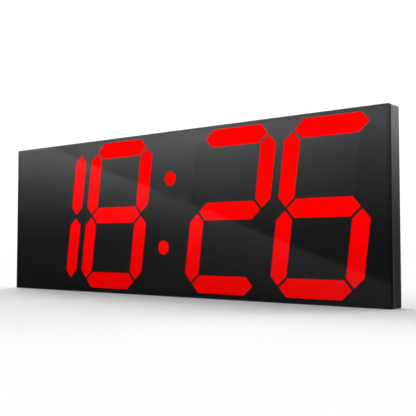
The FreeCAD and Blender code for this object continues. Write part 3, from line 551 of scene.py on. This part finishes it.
@dataclass(frozen=True)
class SweptSkin:
    """A closed skin swept round a box's outline in X and Z, with rounded corners."""

    corner: float = 1.2 * MM
    least_corner: float = 0.15 * MM
    steps: int = 6

    def _outline(self, low: Vector, high: Vector, inset: float) -> list[tuple[float, float]]:
        """Rounded rectangle in X and Z, drawn in from the box's edge."""
        radius = max(self.corner - inset, self.least_corner)
        points = []
        for quarter, (side_x, side_z) in enumerate(((1, 1), (-1, 1), (-1, -1), (1, -1))):
            centre_x = (high.x if side_x > 0 else low.x) - side_x * (inset + radius)
            centre_z = (high.z if side_z > 0 else low.z) - side_z * (inset + radius)
            for step in range(self.steps + 1):
                angle = math.pi / 2 * (quarter + step / self.steps)
                points.append((centre_x + radius * math.cos(angle), centre_z + radius * math.sin(angle)))
        return points

    def sweep(self, name: str, box: tuple[Vector, Vector], section: list[tuple[float, float]]) -> bpy.types.Object:
        """Makes the skin.

        Args:
            name: The piece's name.
            box: Lowest and highest corners of what it goes round.
            section: Its closed section as (inset from the outline, Y).

        Returns:
            The piece, with no material.
        """
        rings = [[(x, y, z) for x, z in self._outline(*box, inset)] for inset, y in section]
        count = len(rings[0])
        points = [point for ring in rings for point in ring]
        faces = []
        for k in range(len(rings)):
            first, second = k * count, (k + 1) % len(rings) * count
            for n in range(count):
                after = (n + 1) % count
                faces.append((first + n, first + after, second + after, second + n))
        mesh = bpy.data.meshes.new(name)
        mesh.from_pydata(points, [], faces)
        shell = bmesh.new()
        shell.from_mesh(mesh)
        bmesh.ops.recalc_face_normals(shell, faces=shell.faces)
        shell.to_mesh(mesh)
        shell.free()
        piece = bpy.data.objects.new(name, mesh)
        bpy.context.scene.collection.objects.link(piece)
        return piece


@dataclass
class LensRim:
    """Black print round the lens's front border, bevel and sides, so that its edges look solid."""

    border: float = 2.9 * MM
    skin: float = 0.025 * MM
    bevel: float = 0.4 * MM
    lap: float = 0.62 * MM
    side_slope: float = 0.3

    def build(self, fitter: Fitter) -> None:
        """Sweeps the print round the lens, glossy in front and matt at the sides."""
        low, high = fitter.box("front_lens")
        back = high.y + self.lap
        section = [
            (self.border, low.y), (self.bevel, low.y), (0.0, low.y + self.bevel), (0.0, back),
            (-self.skin, back), (-self.skin, low.y + self.bevel - self.skin / 2),
            (self.bevel - self.skin / 2, low.y - self.skin), (self.border, low.y - self.skin),
        ]
        piece = SweptSkin().sweep("lens_rim_print", (low, high), section)
        piece.data.materials.append(RIM_PRINT.material())
        piece.data.materials.append(RIM_SIDE_PRINT.material())
        for face in piece.data.polygons:
            face.material_index = int(abs(face.normal.y) < self.side_slope)
        piece.visible_glossy = False
        fitter.fit(piece, "case", "mask_ink")


@dataclass
class FrameEdgeHighlight:
    """The narrow front edge of the frame's rails, painted light grey as a highlight where the edge catches the
    floor's light.
    """

    proud: float = 0.03 * MM
    start: float = 0.66 * MM
    width: float = 0.5 * MM

    def build(self, fitter: Fitter) -> None:
        """Sweeps the painted highlight band round the frame just behind the lens."""
        low, high = fitter.box("front_lens")
        front = high.y + self.start
        back = front + self.width
        section = [(0.0, front), (0.0, back), (-self.proud, back), (-self.proud, front)]
        piece = SweptSkin().sweep("frame_edge_painted_highlight", (low, high), section)
        # the light grey of this band is a painted highlight, not the frame's own colour
        piece.data.materials.append(EDGE_HIGHLIGHT_PAINT.material())
        fitter.fit(piece, "case", "anodised_aluminium")


@dataclass
class CrossScrews:
    """Countersunk screws with a cross recess, each turned a little differently."""

    head_radius: float = 2.3 * MM
    head_depth: float = 1.1 * MM
    shank_radius: float = 1.25 * MM
    cross_length: float = 2.6 * MM
    cross_width: float = 0.5 * MM
    cross_depth: float = 0.85 * MM
    cover_x: tuple[float, ...] = (-0.2, -0.07, 0.07, 0.2)
    seed: int = 7

    def tree(self) -> MeshTree:
        """Builds the tree of a screw on every point, with the top of its head on the point."""
        tree = MeshTree("cross_screws", {
            "Head Radius": self.head_radius, "Head Depth": self.head_depth, "Shank Radius": self.shank_radius,
            "Shank Length": 3.0 * MM, "Cross Length": self.cross_length, "Cross Width": self.cross_width,
            "Cross Depth": self.cross_depth, "Seed": self.seed,
        })
        head_radius, depth = tree.given("Head Radius"), tree.given("Head Depth")
        rim = depth * 0.16
        edge = tree.moved(tree.rod(head_radius, rim, 48), tree.vector(z=rim * -0.5))
        cone = tree.value(tree.node("GeometryNodeMeshCone", None, {
            "Vertices": 48, "Radius Top": head_radius, "Radius Bottom": tree.given("Shank Radius"),
            "Depth": depth - rim,
        }), "Mesh")
        cone = tree.moved(cone, tree.vector(z=depth * -1.0))
        cross_depth = tree.given("Cross Depth")
        slot_size = tree.vector(tree.given("Cross Length"), tree.given("Cross Width"), cross_depth * 2.0)
        slot = tree.value(tree.node("GeometryNodeMeshCube", None, {"Size": slot_size}), "Mesh")
        socket = tree.value(tree.node("GeometryNodeMeshCone", None, {
            "Vertices": 16, "Radius Top": tree.given("Cross Width") * 1.35, "Radius Bottom": 0.1 * MM,
            "Depth": cross_depth * 1.15,
        }), "Mesh")
        socket = tree.moved(socket, tree.vector(z=cross_depth * -1.14))
        solid = self._union(tree, edge, cone)
        for cutter in (slot, tree.moved(slot, tree.vector(), (0.0, 0.0, math.pi / 2)), socket):
            cut = tree.node("GeometryNodeMeshBoolean", {"operation": "DIFFERENCE"}, {0: solid, 1: cutter})
            solid = tree.value(cut)
        length = tree.given("Shank Length")
        shank = tree.moved(tree.rod(tree.given("Shank Radius"), length, 24), tree.vector(z=length * -0.5 - depth))
        spin = tree.node("FunctionNodeRandomValue", {"data_type": "FLOAT_VECTOR"}, {
            0: (-math.pi / 2, 0.0, 0.0), 1: (-math.pi / 2, math.pi / 2, 0.0), "Seed": tree.given("Seed"),
        })
        tree.close(tree.on(tree.given("Points"), tree.joined(solid, shank), tree.value(spin)))
        return tree

    @staticmethod
    def _union(tree: MeshTree, first: Value, second: Value) -> Value:
        """Welds two solids into one."""
        node = tree.node("GeometryNodeMeshBoolean", {"operation": "UNION"})
        for shape in (second, first):
            tree.tree.links.new(shape.socket, node.inputs[1])
        return tree.value(node)

    def build(self, fitter: Fitter) -> None:
        """Makes the back cover's screws and the battery door's captive screw."""
        tree = self.tree()
        low, high = fitter.box("cover_screws")
        inset = self.head_radius
        points = [
            Vector((x, high.y, z))
            for z in (low.z + inset, high.z - inset) for x in self.cover_x
        ]
        points += [Vector((x, high.y, (low.z + high.z) / 2)) for x in (low.x + inset, high.x - inset)]
        material = fitter.material("black_oxide_steel")
        screws = tree.make("cross_recess_screws", points, {"Shank Length": 3.2 * MM}, material)
        fitter.fit(screws, "case", "black_oxide_steel", "cover_screws")
        low, high = fitter.box("battery_door_screw")
        middle = (low + high) / 2
        sizes = {
            "Head Radius": (high.x - low.x) / 2, "Head Depth": 0.8 * MM, "Shank Radius": 1.0 * MM,
            "Shank Length": high.y - low.y - 0.8 * MM, "Cross Length": 2.1 * MM, "Cross Width": 0.42 * MM,
            "Cross Depth": 0.6 * MM,
        }
        captive = tree.make("door_cross_screw", [Vector((middle.x, high.y, middle.z))], sizes, material)
        fitter.fit(captive, "battery_lid", "black_oxide_steel", "battery_door_screw")


@dataclass
class DustScreens:
    """Woven wire screens that show behind the vents of the back cover."""

    width: float = 44.5 * MM
    height: float = 21.0 * MM
    pitch: float = 0.95 * MM
    wire: float = 0.11 * MM
    centre_x: float = 0.107
    centres_z: tuple[float, float] = (0.021, 0.142)
    uprights: int = 47
    levels: int = 23
    behind: float = 2.35 * MM

    def build(self, fitter: Fitter) -> None:
        """Weaves a screen behind each row of vents."""
        tree = MeshTree("woven_screen", {
            "Width": self.width, "Height": self.height, "Pitch": self.pitch, "Wire Radius": self.wire,
            "Upright Count": self.uprights, "Level Count": self.levels,
        })
        wire, pitch = tree.given("Wire Radius"), tree.given("Pitch")
        upright = tree.moved(tree.rod(wire, tree.given("Height"), 6), tree.vector(y=wire * 0.9))
        level = tree.rod(wire, tree.given("Width"), 6)
        level = tree.moved(level, tree.vector(y=wire * -0.9), (0.0, math.pi / 2, 0.0))
        screen = tree.joined(
            tree.row(upright, tree.given("Upright Count"), pitch, Vector((1, 0, 0))),
            tree.row(level, tree.given("Level Count"), pitch, Vector((0, 0, 1))),
        )
        tree.close(tree.on(tree.given("Points"), screen))
        front = fitter.box("rear_cover")[1].y - self.behind
        points = [Vector((x, front, z)) for x in (-self.centre_x, self.centre_x) for z in self.centres_z]
        fitter.fit(tree.make("vent_dust_screens", points, {}, fitter.material("zinc_plated_steel")),
                   "case", "zinc_plated_steel")


@dataclass
class GripRibs:
    """Rows of low rounded ribs on the foot pads and the battery door."""

    pad_ribs: int = 9
    pad_pitch: float = 1.5 * MM
    door_ribs: int = 5
    door_pitch: float = 1.3 * MM

    @staticmethod
    def _tree() -> MeshTree:
        """Builds the tree of a row of ribs, each along X, one above the other, on every point."""
        tree = MeshTree("grip_ribs", {"Count": 5, "Pitch": 1.3 * MM, "Length": 8.0 * MM, "Radius": 0.4 * MM})
        radius, length = tree.given("Radius"), tree.given("Length")
        bar = tree.moved(tree.rod(radius, length, 16), tree.vector(), (0.0, math.pi / 2, 0.0))
        ball = tree.value(tree.node("GeometryNodeMeshUVSphere", None, {
            "Segments": 16, "Rings": 8, "Radius": radius,
        }), "Mesh")
        ends = [tree.moved(ball, tree.vector(x=length * side)) for side in (-0.5, 0.5)]
        rib = tree.joined(bar, *ends)
        ribs = tree.row(rib, tree.given("Count"), tree.given("Pitch"), Vector((0, 0, 1)))
        tree.close(tree.on(tree.given("Points"), ribs))
        return tree

    def build(self, fitter: Fitter) -> None:
        """Makes the ribs of both pads and of the door."""
        tree = self._tree()
        for side in ("left", "right"):
            low, high = fitter.box(f"{side}_foot_pad")
            middle = (low + high) / 2
            sizes = {"Count": self.pad_ribs, "Pitch": self.pad_pitch, "Length": 8.0 * MM, "Radius": 0.42 * MM}
            points = [Vector((middle.x, high.y - 0.30 * MM, middle.z))]
            ribs = tree.make(f"{side}_pad_ribs", points, sizes, fitter.material("soft_pad"))
            fitter.fit(ribs, f"{side}_leg", "soft_pad")
        low, high = fitter.box("battery_door")
        sizes = {"Count": self.door_ribs, "Pitch": self.door_pitch, "Length": 11.0 * MM, "Radius": 0.4 * MM}
        points = [Vector(((low.x + high.x) / 2, high.y - 0.28 * MM, high.z - 10.5 * MM))]
        ribs = tree.make("door_grip_ribs", points, sizes, fitter.material("black_abs"))
        fitter.fit(ribs, "battery_lid", "black_abs")


@dataclass
class KeySurround:
    """A thin raised plate with a hole round each of the four keys."""

    length: float = 46.0 * MM
    height: float = 13.0 * MM
    corner: float = 4.0 * MM
    hole: float = 4.0 * MM
    thickness: float = 0.3 * MM

    def build(self, fitter: Fitter) -> None:
        """Fills the outline less its holes, thickens it and stands it on the back cover."""
        tree = MeshTree("key_surround", {
            "Length": self.length, "Height": self.height, "Corner": self.corner, "Hole": self.hole,
            "Thickness": self.thickness,
        })
        border = tree.value(tree.node("GeometryNodeCurvePrimitiveQuadrilateral", None, {
            "Width": tree.given("Length"), "Height": tree.given("Height"),
        }))
        border = tree.value(tree.node("GeometryNodeFilletCurve", {"mode": "POLY"}, {
            "Curve": border, "Radius": tree.given("Corner"), "Count": 10,
        }))
        hole = tree.value(tree.node("GeometryNodeCurvePrimitiveCircle", None, {
            "Resolution": 48, "Radius": tree.given("Hole"),
        }))
        turned = (-math.pi / 2, 0.0, 0.0)
        holes = tree.value(tree.node("GeometryNodeRealizeInstances", None, {0: tree.on(tree.given("Points"), hole)}))
        sheet = tree.value(tree.node("GeometryNodeFillCurve", {"mode": "NGONS"}, {0: tree.joined(border, holes)}))
        raised = tree.node("GeometryNodeExtrudeMesh", {"mode": "FACES"}, {
            "Mesh": sheet, "Offset": tree.vector(z=1.0), "Offset Scale": tree.given("Thickness"), "Individual": False,
        })
        underside = tree.value(tree.node("GeometryNodeFlipFaces", None, {0: sheet}))
        plate = tree.joined(tree.value(raised), underside)
        welded = tree.value(tree.node("GeometryNodeMergeByDistance", None, {0: plate, "Distance": 0.001 * MM}))
        tree.close(tree.moved(welded, Vector((0.0, 0.0, 0.0)), turned))
        keys = [fitter.box(f"{name}_button") for name in ("mode", "up", "down", "start")]
        centres = [(low + high) / 2 for low, high in keys]
        middle = sum(centres, Vector()) / len(centres)
        flat = [Vector((centre.x - middle.x, 0.0, 0.0)) for centre in centres]
        piece = tree.make("key_surround", flat, {}, fitter.material("keycap_plastic"))
        back = fitter.box("rear_cover")[1].y
        piece.data.transform(Matrix.Translation((middle.x, back - 0.02 * MM, middle.z)))
        fitter.fit(piece, "case", "keycap_plastic")


@dataclass
class VentLips:
    """A low rounded lip round every vent slot."""

    slot_width: float = 2.0 * MM
    lip: float = 0.32 * MM
    pitch: float = 5.0 * MM
    centre_x: float = 0.107
    rows: tuple[tuple[float, float], ...] = ((0.012, 0.030), (0.134, 0.150))

    def build(self, fitter: Fitter) -> None:
        """Sweeps a small round section along a rounded slot and repeats it at every vent."""
        tree = MeshTree("vent_lips", {"Width": self.slot_width, "Height": 18.0 * MM, "Lip Radius": self.lip})
        lip = tree.given("Lip Radius")
        path = tree.value(tree.node("GeometryNodeCurvePrimitiveQuadrilateral", None, {
            "Width": tree.given("Width") + lip, "Height": tree.given("Height") + lip,
        }))
        path = tree.value(tree.node("GeometryNodeFilletCurve", {"mode": "POLY"}, {
            "Curve": path, "Radius": tree.given("Width") * 0.45, "Count": 3,
        }))
        section = tree.value(tree.node("GeometryNodeCurvePrimitiveCircle", None, {"Resolution": 8, "Radius": lip}))
        swept = tree.value(tree.node("GeometryNodeCurveToMesh", None, {"Curve": path, "Profile Curve": section}))
        tree.close(tree.on(tree.given("Points"), swept, (-math.pi / 2, 0.0, 0.0)))
        back = fitter.box("rear_cover")[1].y
        for place, (foot, top) in zip(("lower", "upper"), self.rows):
            points = [
                Vector((side * self.centre_x + self.pitch * k, back, (foot + top) / 2))
                for side in (-1, 1) for k in range(-4, 5)
            ]
            lips = tree.make(f"{place}_vent_lips", points, {"Height": top - foot}, fitter.material("black_abs"))
            fitter.fit(lips, "case", "black_abs")


@dataclass
class CoverRibs:
    """Shallow upright ribs moulded in two panels of the back cover, between the feet and the ends."""

    count: int = 12
    pitch: float = 2.6 * MM
    height: float = 92.0 * MM
    width: float = 1.0 * MM
    centres: tuple[float, float] = (-0.203, 0.203)
    middle_z: float = 0.081

    def build(self, fitter: Fitter) -> None:
        """Makes both panels."""
        tree = MeshTree("cover_ribs", {
            "Count": self.count, "Pitch": self.pitch, "Height": self.height, "Radius": self.width / 2,
        })
        radius, height = tree.given("Radius"), tree.given("Height")
        ball = tree.value(tree.node("GeometryNodeMeshUVSphere", None, {
            "Segments": 12, "Rings": 6, "Radius": radius,
        }), "Mesh")
        ends = [tree.moved(ball, tree.vector(z=height * side)) for side in (-0.5, 0.5)]
        rib = tree.joined(tree.rod(radius, height, 12), *ends)
        ribs = tree.row(rib, tree.given("Count"), tree.given("Pitch"), Vector((1, 0, 0)))
        tree.close(tree.on(tree.given("Points"), ribs))
        depth = fitter.box("rear_cover")[1].y - 0.28 * self.width
        points = [Vector((x, depth, self.middle_z)) for x in self.centres]
        fitter.fit(tree.make("cover_ribs", points, {}, fitter.material("black_abs")), "case", "black_abs")


@dataclass
class Legends:
    """Plain words printed on the back cover beside the keys, the power jack and the clock cell."""

    size: float = 2.1 * MM
    thickness: float = 0.02 * MM
    words: tuple[tuple[str, float, float], ...] = (
        ("MODE", 0.015, 0.1215), ("UP", 0.005, 0.1215), ("DOWN", -0.005, 0.1215), ("START", -0.015, 0.1215),
        ("POWER", 0.0, 0.0300), ("CLOCK CELL", 0.0, 0.0945),
    )

    def build(self, fitter: Fitter) -> None:
        """Sets each word and lays it on the cover so that it reads from behind."""
        back = fitter.box("rear_cover")[1].y
        upright = Matrix(((-1, 0, 0, 0), (0, 0, 1, 0), (0, 1, 0, 0), (0, 0, 0, 1)))
        print_shell = bmesh.new()
        for text, x, z in self.words:
            curve = bpy.data.curves.new(text, "FONT")
            curve.body, curve.size, curve.align_x, curve.extrude = text, self.size, "CENTER", self.thickness
            curve.resolution_u = 3
            carrier = bpy.data.objects.new(text, curve)
            bpy.context.scene.collection.objects.link(carrier)
            bpy.context.view_layer.update()
            mesh = bpy.data.meshes.new_from_object(carrier.evaluated_get(bpy.context.evaluated_depsgraph_get()))
            mesh.transform(Matrix.Translation((x, back, z)) @ upright)
            print_shell.from_mesh(mesh)
            bpy.data.objects.remove(carrier)
            bpy.data.meshes.remove(mesh)
        bmesh.ops.remove_doubles(print_shell, verts=print_shell.verts, dist=0.0005 * MM)
        bmesh.ops.recalc_face_normals(print_shell, faces=print_shell.faces)
        words = bpy.data.meshes.new("cover_legends")
        print_shell.to_mesh(words)
        print_shell.free()
        words.materials.clear()
        words.materials.append(WHITE_PRINT.material())
        piece = bpy.data.objects.new("cover_legends", words)
        bpy.context.scene.collection.objects.link(piece)
        fitter.fit(piece, "case", "connector_nylon")


@dataclass(frozen=True)
class StudioCamera:
    """The camera that stands low, to the right of the case."""

    place: tuple[float, float, float] = (0.48612, -0.54155, 0.04986)
    turn_left_deg: float = 38.716
    tilt_up_deg: float = 2.996
    lens_mm: float = 63.366
    shift: tuple[float, float] = (-0.01079, -0.00244)

    def build(self) -> None:
        """Makes the camera and puts it in the scene."""
        data = bpy.data.cameras.new("studio_camera")
        data.lens = self.lens_mm
        data.sensor_width = 36.0
        data.shift_x, data.shift_y = self.shift
        data.clip_start, data.clip_end = 0.01, 100.0
        camera = bpy.data.objects.new("studio_camera", data)
        camera.location = self.place
        camera.rotation_euler = (math.radians(90.0 + self.tilt_up_deg), 0.0, math.radians(self.turn_left_deg))
        bpy.context.scene.collection.objects.link(camera)
        bpy.context.scene.camera = camera
        LOG.info("camera at %s", self.place)


@dataclass(frozen=True)
class Studio:
    """White sweep, soft daylight and the walls that the gloss mirrors."""

    backdrop: float = 1.1
    ambient: float = 0.22
    softboxes: tuple[tuple[float, float, float], ...] = (
        (146.0, 48.0, 7.1), (198.0, 10.0, 13.0), (62.0, 8.0, 10.2),
    )
    floor_white: float = 0.90
    wall_gap: float = 0.161
    wall_low: float = -0.45
    wall_high: float = 0.45
    wall_strength: float = 3.6
    along_from: float = 0.5
    wall_corner: float = 0.06
    wall_beyond_left: float = 0.35
    wall_foot: float = -0.05
    wall_top: float = 0.25
    wall_rise: tuple[tuple[float, float], ...] = (
        (0.0, 0.056), (0.14, 0.062), (0.22, 0.072), (0.30, 0.078), (0.347, 0.080), (0.40, 0.105),
        (0.453, 0.155), (0.55, 0.27), (0.658, 0.462), (0.723, 0.67), (0.783, 0.90), (1.0, 1.08),
    )
    wall_along: tuple[tuple[float, float], ...] = (
        (0.06, 0.64), (0.15, 0.70), (0.25, 0.84), (0.325, 0.94),
        (0.40, 1.13), (0.53, 1.02), (0.675, 0.76), (0.85, 0.57),
    )
    wall_steepness: tuple[tuple[float, float], ...] = ((0.80, 1.0), (0.84, 1.5))
    streak_at: float = 0.0651
    streak_slope: float = 0.3436
    streak_depth: float = 0.170
    lens_streak: float = 1.2
    mask_streak: float = 0.64
    mask_depth: float = 0.0026
    streak_fade: tuple[tuple[float, float], ...] = (
        (0.0, 1.0), (0.035, 0.97), (0.07, 0.86), (0.12, 0.70), (0.18, 0.55), (0.24, 0.42), (0.30, 0.29),
        (0.36, 0.19), (0.47, 0.09), (0.60, 0.05), (1.0, 0.0),
    )
    streak_along: tuple[tuple[float, float], ...] = (
        (0.10, 0.62), (0.20, 0.95), (0.28, 0.84), (0.35, 0.68), (0.45, 0.56), (0.60, 0.42), (0.70, 0.36),
    )

    def build(self, lens: list[bpy.types.Object], mask: list[bpy.types.Object]) -> None:
        """Makes the world, the floor, the mirrored wall and the streak cards.

        Args:
            lens: What mirrors the streak at the lens's face; the first of them doesn't mirror the wall.
            mask: The dark surfaces behind the lens that mirror the streak too.
        """
        self._world()
        self._floor()
        self._wall(lens[0])
        self._streak("lens_streak_card", self.lens_streak, 0.0, lens)
        self._streak("mask_streak_card", self.mask_streak, 2 * self.mask_depth, mask)
        bpy.context.scene.view_settings.view_transform = "Standard"
        LOG.info("studio ready")

    def _world(self) -> None:
        """White surroundings to look at, and soft light from the left, behind and the right."""
        world = bpy.data.worlds.new("white_surroundings")
        world.use_nodes = True
        graph = Graph(world.node_tree)
        direction = graph.value(graph.node("ShaderNodeTexCoord"), "Generated")
        light: Any = self.ambient
        for azimuth, elevation, strength in self.softboxes:
            turn, rise = math.radians(azimuth), math.radians(elevation)
            towards = (math.cos(rise) * math.cos(turn), math.cos(rise) * math.sin(turn), math.sin(rise))
            facing = graph.node("ShaderNodeVectorMath", {"operation": "DOT_PRODUCT"}, {0: direction, 1: towards})
            light = graph.value(facing, "Value").clamped() ** 20.0 * strength + light
        seen = graph.value(graph.node("ShaderNodeLightPath"), "Is Camera Ray")
        background = world.node_tree.nodes["Background"]
        background.inputs["Color"].default_value = (1.0, 1.0, 1.0, 1.0)
        strength = light * (1.0 - seen) + seen * self.backdrop
        world.node_tree.links.new(strength.socket, background.inputs["Strength"])
        bpy.context.scene.world = world

    def _floor(self) -> None:
        """A wide matt white floor."""
        mesh = bpy.data.meshes.new("floor")
        half = 30.0
        mesh.from_pydata([(-half, -half, 0), (half, -half, 0), (half, half, 0), (-half, half, 0)], [], [(0, 1, 2, 3)])
        floor = bpy.data.objects.new("floor", mesh)
        material, graph, shader = new_material("floor_paint")
        paint = graph.blend(
            graph.noise(graph.place((1.0, 1.0, 1.0)), 3.0),
            (self.floor_white,) * 3, (self.floor_white + 0.01,) * 3,
        )
        graph.tree.links.new(paint.socket, shader.inputs["Base Color"])
        shader.inputs["Roughness"].default_value = 0.9
        shader.inputs["Specular IOR Level"].default_value = 0.0
        mesh.materials.append(material)
        floor.visible_glossy = False
        self._place(floor)

    def _place(self, thing: bpy.types.Object) -> None:
        """Links a stage object."""
        bpy.context.scene.collection.objects.link(thing)
        thing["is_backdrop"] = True

    def _mirrored_only(self, thing: bpy.types.Object) -> None:
        """Lets only glossy surfaces see a card."""
        thing.visible_camera = False
        thing.visible_diffuse = False
        thing.visible_transmission = False
        thing.visible_volume_scatter = False
        thing.visible_shadow = False
        self._place(thing)

    def _card_material(self, name: str, make_light: Any, see_through: bool) -> bpy.types.Material:
        """Makes the material of a glowing card.

        Args:
            name: The material's name.
            make_light: Turns the graph and the X and Z values into the card's strength.
            see_through: Whether what stands behind the card shows too.

        Returns:
            The material.
        """
        material = bpy.data.materials.new(name)
        material.use_nodes = True
        tree = material.node_tree
        tree.nodes.clear()
        graph = Graph(tree)
        parts = graph.node("ShaderNodeSeparateXYZ", None, {0: graph.place((1.0, 1.0, 1.0))})
        strength = make_light(graph, graph.value(parts, "X"), graph.value(parts, "Z"))
        glow = graph.value(graph.node("ShaderNodeEmission", None, {"Strength": strength}))
        if see_through:
            clear = graph.value(graph.node("ShaderNodeBsdfTransparent"))
            glow = graph.value(graph.node("ShaderNodeAddShader", None, {0: glow, 1: clear}))
        graph.node("ShaderNodeOutputMaterial", None, {"Surface": glow})
        return material

    def _wall_light(self, graph: Graph, x: Value, z: Value) -> Value:
        """Strength of the wall: dark below, bright above, and brightest left of the middle."""
        rise = graph.ramp((z - self.wall_foot) * (1.0 / (self.wall_top - self.wall_foot)), self.wall_rise)
        along = graph.ramp(x + self.along_from, self.wall_along)
        steepness = graph.ramp(x + self.along_from, self.wall_steepness)
        return rise ** steepness * along * self.wall_strength

    def _streak_light(self, graph: Graph, x: Value, z: Value) -> Value:
        """Light of a streak card: bright at its upper edge and gone one card's depth below it."""
        below = (self.streak_at - self.streak_slope * x - z) * (1.0 / self.streak_depth)
        return graph.ramp(below, self.streak_fade) * graph.ramp(x + self.along_from, self.streak_along)

    def _wall(self, lens: bpy.types.Object) -> None:
        """A rounded wall round the case, bright above and dark below."""
        low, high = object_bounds()
        corner = self.wall_corner
        left = low.x - self.wall_gap - self.wall_beyond_left + corner
        right = high.x + self.wall_gap - corner
        front, back = low.y - self.wall_gap + corner, high.y + self.wall_gap - corner
        outline = []
        for turn, (x, y) in enumerate(((right, back), (left, back), (left, front), (right, front))):
            for step in range(9):
                angle = math.pi / 2 * (turn + step / 8)
                outline.append((x + corner * math.cos(angle), y + corner * math.sin(angle)))
        count = len(outline)
        points = [(x, y, z) for z in (self.wall_low, self.wall_high) for x, y in outline]
        faces = [(k, (k + 1) % count, count + (k + 1) % count, count + k) for k in range(count)]
        mesh = bpy.data.meshes.new("mirrored_wall")
        mesh.from_pydata(points, [], faces)
        mesh.materials.append(self._card_material("mirrored_wall", self._wall_light, False))
        wall = bpy.data.objects.new("mirrored_wall", mesh)
        self._mirrored_only(wall)
        self._link_light(wall, [lens], "EXCLUDE")

    def _streak(self, name: str, strength: float, nearer: float, things: list[bpy.types.Object]) -> None:
        """Makes a card whose straight edge shows as a slanting line across the front.

        Args:
            name: The card's name.
            strength: Its light at the brightest place.
            nearer: How much nearer to the case it stands, so that its image in the mask meets that in the lens.
            things: What mirrors it.
        """
        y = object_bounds()[0].y - self.wall_gap + 0.001 + nearer
        ends = [(x, self.streak_at - self.streak_slope * x) for x in (-0.70, 0.30)]
        points = [(x, y, z - drop) for drop in (0.0, self.streak_depth) for x, z in ends]
        mesh = bpy.data.meshes.new(name)
        mesh.from_pydata(points, [], [(0, 1, 3, 2)])
        mesh.materials.append(
            self._card_material(name, lambda graph, x, z: self._streak_light(graph, x, z) * strength, True)
        )
        card = bpy.data.objects.new(name, mesh)
        self._mirrored_only(card)
        self._link_light(card, things, "INCLUDE")

    @staticmethod
    def _link_light(card: bpy.types.Object, things: list[bpy.types.Object], state: str) -> None:
        """Lets a card shine on the given objects only, or on all but those."""
        group = bpy.data.collections.new(card.name + "_" + state.lower())
        for thing in things:
            group.objects.link(thing)
        for member in group.collection_objects:
            member.light_linking.link_state = state
        card.light_linking.receiver_collection = group


def main() -> None:
    """Builds the scene in order."""
    logging.basicConfig(level=logging.INFO, format="%(message)s")
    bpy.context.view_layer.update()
    workshop = Workshop(frame)
    workshop.dress_nodes()
    fitter = Fitter(workshop)
    for sub_assembly in (LensRim(), FrameEdgeHighlight(), CrossScrews(), DustScreens(), GripRibs(), KeySurround(),
                         VentLips(), CoverRibs(), Legends()):
        sub_assembly.build(fitter)
    StudioCamera().build()
    nodes = frame["nodes"]
    mask = [nodes[name] for name in nodes if name == "mask_film" or name.endswith("_dark_segments")]
    Studio().build([nodes["front_lens"], bpy.data.objects["lens_rim_print"]], mask)


if __name__ == "__main__":
    main()
